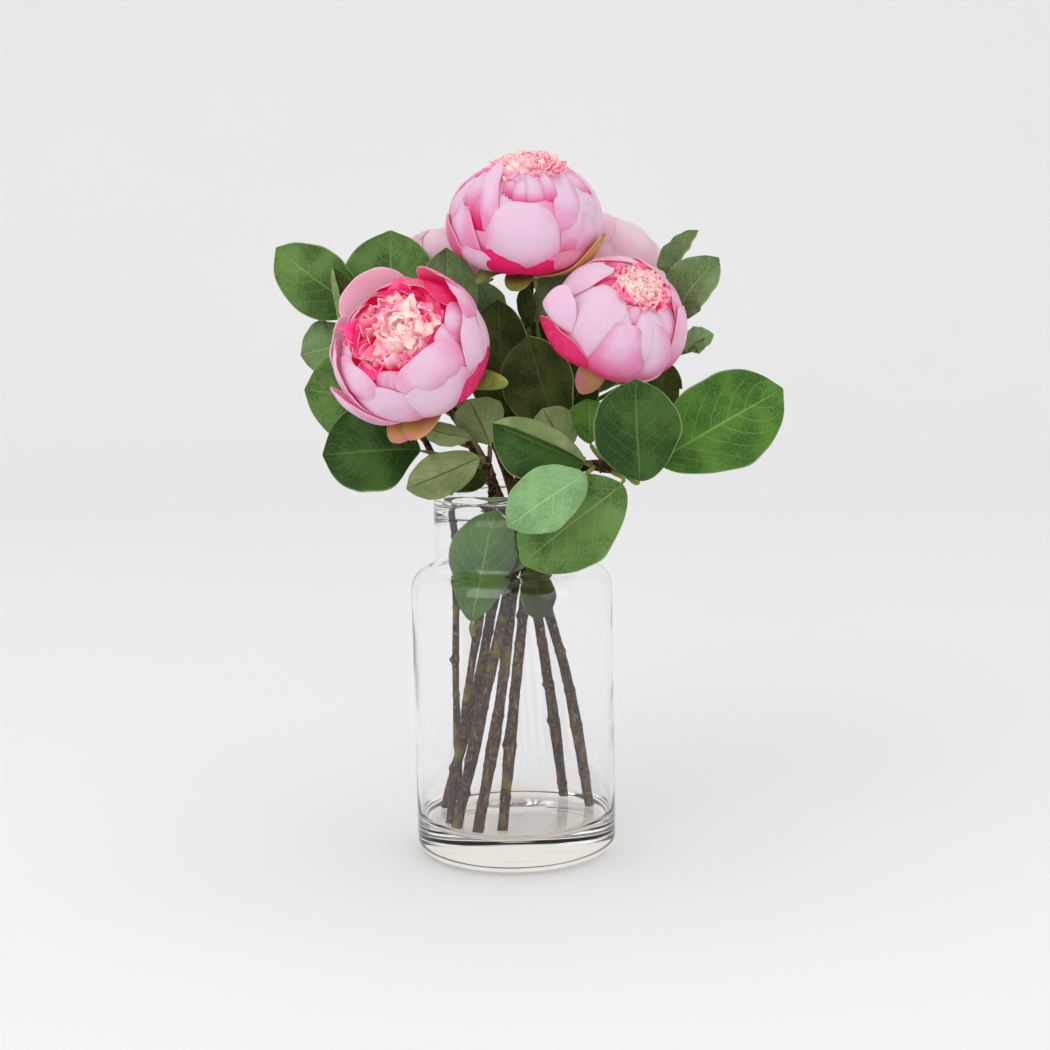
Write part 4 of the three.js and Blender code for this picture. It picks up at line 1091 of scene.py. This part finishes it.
# Each heart's groups of crimped petals: how many, from and to which share of the radius they stand, their
# height, width and crimp in mm, how far they lie to the right of the bloom's middle, and how deep they are.
HEARTS = {
    "top": [(40, 0, 0.26, 9, 11, 0.9, 2, -0.02), (44, 0.26, 0.44, 8, 12, 1.2, 2, 0.12)],
    "left": [(40, 0, 0.28, 23, 14, 1.1, 4, -0.15), (46, 0.26, 0.48, 20, 16, 1.8, 0, 0.31)],
    "right": [(40, 0, 0.25, 6.5, 9.5, 1.0, 0, -0.05), (34, 0.25, 0.38, 6.5, 10, 1.2, 0, 0.2)],
    "back_right": [(16, 0, 0.22, 5, 10, 0.8, 0, 0.1)],
    "back_left": [(8, 0, 0.2, 3, 8, 0.6, 0, 0.1)],
}


def petal_grid(name, row, root, seed):
    """A petal's outer face as a grid over the bloom's round, and its blade map: across and along."""
    turn, reach, half, share, lip, lean, _, skew, widest = row
    radius, squash = BLOOMS[name][2] * MM, BLOOMS[name][3]
    v = np.sin(np.linspace(0, math.pi / 2, PETAL_ROWS + 1))[:, None]
    u = np.linspace(-1, 1, PETAL_COLUMNS + 1)[None]
    a, b, c, d = (2 * math.pi * draw(seed + k / 7) for k in range(4))
    start = 0.5 + 0.5 * np.sin(math.pi / 2 * np.clip(v / widest, 0, 1))
    round_end = np.clip((v - widest) / (1 - widest), 0, 1)
    width = np.maximum(np.where(v < widest, start, np.maximum(1 - round_end**2.2, 1e-4) ** 0.455), 0.05)
    place = u * width
    swing = np.radians(half) * place * (1 + 0.02 * np.sin(9 * v + a))
    degrees = root + (reach - root) * v * (1 + 0.014 * v**6 * np.sin(5 * place + c))
    climb = np.radians(degrees)
    filled = np.clip((degrees - root) / (45 if root < 60 else 22), 0, 1)
    swell = 0.7 + 0.3 * filled * filled * (3 - 2 * filled)
    rim = np.maximum(v**10, np.abs(place) ** 8 * v)
    small = half / 30
    depth = lip * v**3 + lean * place + 2.2 * small**0.5 * np.sin(math.pi * v**0.9) * (1 - u**2) * width
    depth = depth - (1.2 * small + 0.3) * v**6 - 1.3 * place**2 * v**2
    depth = depth + rim * (0.5 * np.sin(5.5 * place + a) + 0.3 * np.sin(11 * place + 6 * v + b))
    depth = depth + 0.14 * np.sin(15 * place + 1.5 * np.sin(4 * v + c)) * np.sin(math.pi * v) * v
    waves = 0.9 * np.sin(3.4 * place + 4 * v + d) + 0.5 * np.sin(6 * place - 7 * v + c)
    depth = depth + small * v * waves * (1 - 0.6 * v)
    size = radius * share * swell + depth * MM
    out = np.radians(turn + skew * v**2)
    along = np.stack([np.sin(climb) * np.sin(out), -np.sin(climb) * np.cos(out), -np.cos(climb)], 2)
    across = np.stack([np.cos(out), np.sin(out), 0 * out], 2)
    grid = (along * np.cos(swing)[..., None] + across * np.sin(swing)[..., None]) * size[..., None]
    grid[..., 2] *= squash
    return grid, np.stack(np.broadcast_arrays(u, v), 2)


def ruffle_grid(name, group, index):
    """One small crimped petal of the heart. It stands on the core and leans out more towards its edge."""
    count, inner, outer, height, width, crimps, right, deep = group
    _, _, radius, squash, crown = BLOOMS[name]
    a, b, c, d, e = (draw(11 * index + count + k + 0.37) for k in range(5))
    spread = math.sqrt(inner**2 + (outer**2 - inner**2) * (index + 0.5) / count)
    turn = math.radians(GOLDEN_TURN * index)
    facing = turn + math.radians(90 * (a - 0.5))
    reach = radius * spread
    top = radius * squash * crown * math.sqrt(max(0.05, 1 - (spread / CORE) ** 2))
    foot = np.array([math.sin(turn) * reach + right, -math.cos(turn) * reach, top - 4]) * MM
    tall = (height * (0.8 + 0.35 * b) + 4) * MM
    wide = width * (0.6 + 0.6 * c) / 2 * MM
    v = np.sin(np.linspace(0, 1, RUFFLE_ROWS + 1) * math.pi / 2)[:, None]
    u = np.linspace(-1, 1, RUFFLE_COLUMNS + 1)[None]
    lean = np.radians(4 + 34 * spread * v + 14 * (d - 0.5) + 60 * (e - 0.5) * v**3)
    end = np.clip((v - 0.72) / 0.28, 0, 1)
    widening = 0.4 + 0.6 * np.sin(math.pi / 2 * v / 0.72)
    outline = np.where(v < 0.72, widening, np.maximum(1 - end**3, 0.003) ** 0.34)
    place = u * outline
    crimp = crimps * v * (np.sin(4 * place + 6.3 * a) + 0.55 * np.sin(8.5 * place + 6.3 * b + 4 * v))
    notch = 1 - 0.05 * v**4 * (1 + np.sin(6 * place + 6.3 * c))
    out = tall * v * notch * np.sin(lean) + MM * (crimp - 0.3 * width * place**2 * (0.3 + c) * v**0.5)
    rise = tall * v * notch * np.cos(lean)
    side = wide * outline * u
    across = np.array([math.cos(facing), math.sin(facing), 0])
    outward = np.array([math.sin(facing), -math.cos(facing), 0])
    upward = np.array([0, 0, 1.0])
    grid = foot + across * side[..., None] + outward * out[..., None] + upward * rise[..., None]
    tone = deep + 0.6 * (e - 0.5) + 0.25 * (spread - inner) / (outer - inner)
    return grid, np.stack(np.broadcast_arrays(u, v), 2), (max(tone, -0.1), c)


def core_mesh(name):
    """The core: round below, cut flat where the calyx sits, lowered above, and lightly ribbed."""
    _, _, radius, squash, crown = BLOOMS[name]
    size = radius * CORE * MM
    start = math.pi - math.acos(-CORE_CUT)
    profile = [(0, -underside_depth(radius * MM, squash))]
    for angle in np.linspace(start, math.pi, 16):
        rise = -math.cos(angle) * (crown / CORE if angle > math.pi / 2 else 1)
        profile.append((size * math.sin(angle), size * squash * rise))
    profile[-1] = (0, profile[-1][1])
    points, faces = turned(profile, 72)
    points = np.array(points)
    turn = np.arctan2(points[:, 1], points[:, 0])
    points[:, :2] *= (1 + 0.02 * np.cos(12 * turn))[:, None]
    return points, faces


def petal_group():
    """A petal's colour from its blade and tone maps: pale and veined with a painted highlight, deeper at its
    foot and by its tone, partly painted shade.
    """
    group = bpy.data.node_groups.new("petal colour", "ShaderNodeTree")
    for name in ("Pale", "Body", "Deep", "Rim"):
        group.interface.new_socket(name, in_out="INPUT", socket_type="NodeSocketColor")
    for name, default in (("Depth", 0.0), ("Foot", 0.45)):
        socket = group.interface.new_socket(name, in_out="INPUT", socket_type="NodeSocketFloat")
        socket.default_value = default
    group.interface.new_socket("Colour", in_out="OUTPUT", socket_type="NodeSocketColor")
    group.interface.new_socket("Height", in_out="OUTPUT", socket_type="NodeSocketFloat")
    given = group.nodes.new("NodeGroupInput").outputs
    result = group.nodes.new("NodeGroupOutput").inputs
    blade_map = node(group, "ShaderNodeUVMap", uv_map="blade").outputs[0]
    tone_map = node(group, "ShaderNodeUVMap", uv_map="tone").outputs[0]
    u, v, _ = node(group, "ShaderNodeSeparateXYZ", {0: blade_map}).outputs
    tone, seed, _ = node(group, "ShaderNodeSeparateXYZ", {0: tone_map}).outputs
    place = node(group, "ShaderNodeTexCoord").outputs["Object"]
    cloud = noise(group, place, 38.0, 2.0, 0.6)
    stretched = {"X": times(group, u, 7.0), "Y": times(group, v, 1.4), "Z": times(group, seed, 40.0)}
    long = node(group, "ShaderNodeCombineXYZ", stretched).outputs[0]
    streak = noise(group, long, 1.6, 3.0, 0.6)
    fine = noise(group, long, 8.0, 2.0, 0.6)
    # Painted highlight: each petal is drawn paler across its upper middle.
    middle = ramp(group, math_node(group, "ABSOLUTE", u), 0.95, 0.1)
    middle = times(group, middle, ramp(group, v, 0.3, 0.75))
    own = times(group, math_node(group, "SUBTRACT", seed, 0.5), 0.3)
    flush = plus(group, plus(group, cloud, own), times(group, middle, -0.35))
    # Pinker towards the foot: partly the petal's own colour, partly painted shade.
    flush = plus(group, flush, times(group, math_node(group, "SUBTRACT", 0.8, v), 0.45))
    # A tone below 0 makes the petal paler and takes its deep foot away: painted light on petals that sit in
    # shade.
    flush = plus(group, flush, times(group, math_node(group, "MINIMUM", tone, 0.0), 0.8))
    base = mix_colour(group, ramp(group, flush, 0.05, 0.68), given["Pale"], given["Body"])
    # Deep pink at the foot, where each petal is tucked under its neighbours: partly its own colour, partly
    # painted shade.
    uneven = times(group, math_node(group, "SUBTRACT", streak, 0.5), 0.3)
    foot = ramp(group, plus(group, v, uneven), given["Foot"], 0.15)
    foot = times(group, foot, math_node(group, "ADD", times(group, tone, 2.0), 1.0, clamp=True))
    # A high tone deepens the whole petal: its own deep pink, and painted shade on petals tucked underneath.
    depth = plus(group, plus(group, foot, tone), given["Depth"])
    depth = plus(group, depth, times(group, math_node(group, "SUBTRACT", streak, 0.5), 0.5))
    colour = mix_colour(group, ramp(group, depth, 0.08, 0.9), base, given["Deep"])
    tip = ramp(group, v, 0.985, 0.998)
    side = ramp(group, math_node(group, "ABSOLUTE", u), 0.95, 1.0)
    rim = math_node(group, "MAXIMUM", tip, side)
    rim = times(group, rim, ramp(group, cloud, 0.3, 0.6))
    colour = mix_colour(group, times(group, rim, 0.6), colour, given["Rim"])
    colour = mix_colour(group, times(group, ramp(group, fine, 0.5, 0.75), 0.2), colour, given["Deep"])
    group.links.new(colour, result["Colour"])
    group.links.new(plus(group, streak, times(group, fine, 0.5)), result["Height"])
    return group


PETAL_COLOUR = petal_group()


def petal_material(name, painted_glow=0.06, **given):
    """Soft petal flesh. Its glow is painted light, an emission that stands for the light through so thin a
    blade.
    """
    material, tree, shader = new_material(
        name,
        0.55,
        Specular_IOR_Level=0.2,
        Subsurface_Weight=0.3,
        Subsurface_Radius=(0.004, 0.0012, 0.002),
        Subsurface_Scale=1.0,
        Emission_Strength=painted_glow,
    )
    made = node(tree, "ShaderNodeGroup", (), node_tree=PETAL_COLOUR)
    for key, value in given.items():
        made.inputs[key].default_value = value
    tree.links.new(made.outputs["Colour"], shader.inputs["Base Color"])
    tree.links.new(made.outputs["Colour"], shader.inputs["Emission Color"])
    tree.links.new(bump(tree, made.outputs["Height"], 0.3, 0.0005), shader.inputs["Normal"])
    return material


# Each material's glow is painted light that lifts the petals' shade; it is strongest inside the blooms and in
# the heart.
PINK_OUTSIDE = petal_material(
    "petal outside",
    painted_glow=0.03,
    Pale=(0.79, 0.54, 0.69, 1),
    Body=(0.78, 0.25, 0.47, 1),
    Deep=(0.74, 0.012, 0.13, 1),
    Rim=(0.90, 0.62, 0.58, 1),
    Depth=0.05,
    Foot=0.78,
)
PINK_INSIDE = petal_material(
    "petal inside",
    painted_glow=0.13,
    Pale=(0.92, 0.66, 0.74, 1),
    Body=(0.90, 0.34, 0.52, 1),
    Deep=(0.90, 0.02, 0.20, 1),
    Rim=(0.95, 0.68, 0.60, 1),
    Depth=0.05,
    Foot=0.9,
)
PALE_OUTSIDE = petal_material(
    "pale petal outside",
    Pale=(0.78, 0.56, 0.64, 1),
    Body=(0.74, 0.43, 0.53, 1),
    Deep=(0.66, 0.20, 0.35, 1),
    Rim=(0.80, 0.50, 0.52, 1),
    Depth=0.0,
    Foot=0.5,
)
PALE_INSIDE = petal_material(
    "pale petal inside",
    Pale=(0.82, 0.54, 0.62, 1),
    Body=(0.78, 0.40, 0.52, 1),
    Deep=(0.72, 0.16, 0.32, 1),
    Rim=(0.84, 0.5, 0.52, 1),
    Depth=0.1,
    Foot=0.6,
)
HEART = petal_material(
    "heart petal",
    painted_glow=0.13,
    Pale=(0.96, 0.76, 0.67, 1),
    Body=(0.93, 0.37, 0.51, 1),
    Deep=(0.92, 0.07, 0.25, 1),
    Rim=(0.98, 0.85, 0.78, 1),
    Depth=0.05,
    Foot=0.8,
)

for number, name in enumerate(BLOOMS):
    pale = name.startswith("back")
    materials = [PALE_OUTSIDE, PALE_INSIDE, HEART] if pale else [PINK_OUTSIDE, PINK_INSIDE, HEART]
    parts = [plain_part(*core_mesh(name), (0.9, 0.5))]
    kinds = [np.ones(len(parts[0][1]), int)]
    rows = [(root, row) for root, group in PETALS[name].items() for row in group]
    rows += [(LINING_ROOT, (turn, LINING[name], 36, 0.9, 0, 1, 0.15, 0, 0.6)) for turn in range(25, 385, 60)]
    for k, (root, row) in enumerate(rows):
        grid, place = petal_grid(name, row, root, 100 * number + k)
        parts.append(sheet_part(grid, PETAL_THICK, place, (row[6], draw(number + k / 3))))
        kinds.append(parts[-1][2].astype(int))
    count, reach, half, share, deep = COLLARS[name]
    for k in range(count):
        a, b, c, d = (draw(5 * number + 3 * k + m / 5) for m in range(4))
        row = (
            360 / count * (k + 0.5 * a),
            reach - 6 + 10 * b,
            half * (0.8 + 0.4 * c),
            share * (0.97 + 0.06 * d),
            2 * a,
            1,
            deep * (0.4 + 1.2 * b),
            10 * (c - 0.5),
            0.6,
        )
        grid, place = petal_grid(name, row, COLLAR_ROOT, 100 * number + 50 + k)
        parts.append(sheet_part(grid[::2, ::2], PETAL_THICK, place[::2, ::2], (row[6], d)))
        kinds.append(parts[-1][2].astype(int))
    for group in HEARTS[name]:
        for k in range(group[0]):
            grid, place, marks = ruffle_grid(name, group, k)
            parts.append(sheet_part(grid, RUFFLE_THICK, place, marks))
            kinds.append(np.full(len(parts[-1][1]), 2 if group[-1] < 0.3 else 1))
    vertices, faces, under, place, tone = joined(parts)
    vertices = bloom_place(name, vertices)
    slot = "petal_pale" if pale else "petal_pink"
    piece = add_piece("bloom_" + name + "_petals", vertices, faces, materials, slot, "bloom_" + name)
    piece.data.polygons.foreach_set("material_index", np.concatenate(kinds).astype(np.int32))
    add_map(piece, "blade", place)
    add_map(piece, "tone", tone)

# ---------------------------------------------------------------- stage
# A pale seamless paper floor that sweeps up behind, soft light from all round, a broad key light from the
# upper left and a weak fill from the right. The camera stands in front and looks a little down.

FLOOR_FRONT = -2.6
FLOOR_BACK = 2.2  # where the floor starts to sweep up
FLOOR_SWEEP = 1.0  # radius of the sweep
FLOOR_HALF_WIDTH = 4.0
WALL_TOP = 4.0
FLOOR_DROP = 0.0002  # how far the paper lies under the vase's foot
SKY_STRENGTH = 0.88
CAMERA_PLACE = (0.0096, -1.247, 0.393)
CAMERA_PITCH = 8.03  # degrees down
CAMERA_ROLL = 1.16  # degrees
CAMERA_LENS = 65.9
CAMERA_SENSOR = 36


def floor_mesh():
    angles = np.radians(np.linspace(-90, 0, 24))
    sweep = [(FLOOR_BACK + FLOOR_SWEEP * math.cos(a), FLOOR_SWEEP * (1 + math.sin(a))) for a in angles]
    profile = [(FLOOR_FRONT, 0.0), *sweep, (FLOOR_BACK + FLOOR_SWEEP, WALL_TOP)]
    points = [(x, y, z - FLOOR_DROP) for x in (-FLOOR_HALF_WIDTH, FLOOR_HALF_WIDTH) for y, z in profile]
    count = len(profile)
    faces = [(k, k + count, k + count + 1, k + 1) for k in range(count - 1)]
    return points, faces


mesh = bpy.data.meshes.new("studio_floor")
points, faces = floor_mesh()
mesh.from_pydata(points, [], faces)
mesh.shade_smooth()
paper, tree, shader = new_material("studio paper", 0.9)
place = node(tree, "ShaderNodeTexCoord").outputs["Object"]
colour = mix_colour(tree, noise(tree, place, 3.0, 2.0), (0.87, 0.87, 0.87, 1), (0.89, 0.89, 0.89, 1))
tree.links.new(colour, shader.inputs["Base Color"])
mesh.materials.append(paper)
floor = bpy.data.objects.new("studio_floor", mesh)
bpy.context.scene.collection.objects.link(floor)

world = bpy.data.worlds.new("studio")
bpy.context.scene.world = world
world.use_nodes = True
world.node_tree.nodes["Background"].inputs["Color"].default_value = (1, 1, 1, 1)
world.node_tree.nodes["Background"].inputs["Strength"].default_value = SKY_STRENGTH


def area_light(name, place, target, size, power):
    light = bpy.data.lights.new(name, "AREA")
    light.shape = "RECTANGLE"
    light.size, light.size_y = size
    light.energy = power
    lamp = bpy.data.objects.new(name, light)
    bpy.context.scene.collection.objects.link(lamp)
    lamp.location = place
    lamp.rotation_euler = (Vector(target) - Vector(place)).to_track_quat("-Z", "Y").to_euler()


area_light("key", (-1.1, -1.6, 1.9), (0, 0, 0.3), (1.9, 1.9), 17)
area_light("fill", (1.6, -1.3, 1.0), (0, 0, 0.3), (1.2, 1.2), 3)

camera = bpy.data.cameras.new("camera")
camera.sensor_width = CAMERA_SENSOR
camera.lens = CAMERA_LENS
eye = bpy.data.objects.new("camera", camera)
bpy.context.scene.collection.objects.link(eye)
pitch = math.radians(CAMERA_PITCH)
roll = math.radians(CAMERA_ROLL)
right = Vector((1, 0, 0))
up = Vector((0, math.sin(pitch), math.cos(pitch)))
away = Vector((0, math.cos(pitch), -math.sin(pitch)))
turned_right = right * math.cos(roll) - up * math.sin(roll)
turned_up = right * math.sin(roll) + up * math.cos(roll)
pose = Matrix((turned_right, turned_up, -away)).transposed().to_4x4()
pose.translation = CAMERA_PLACE
eye.matrix_world = pose
bpy.context.scene.camera = eye
bpy.context.scene.view_settings.view_transform = "Standard"
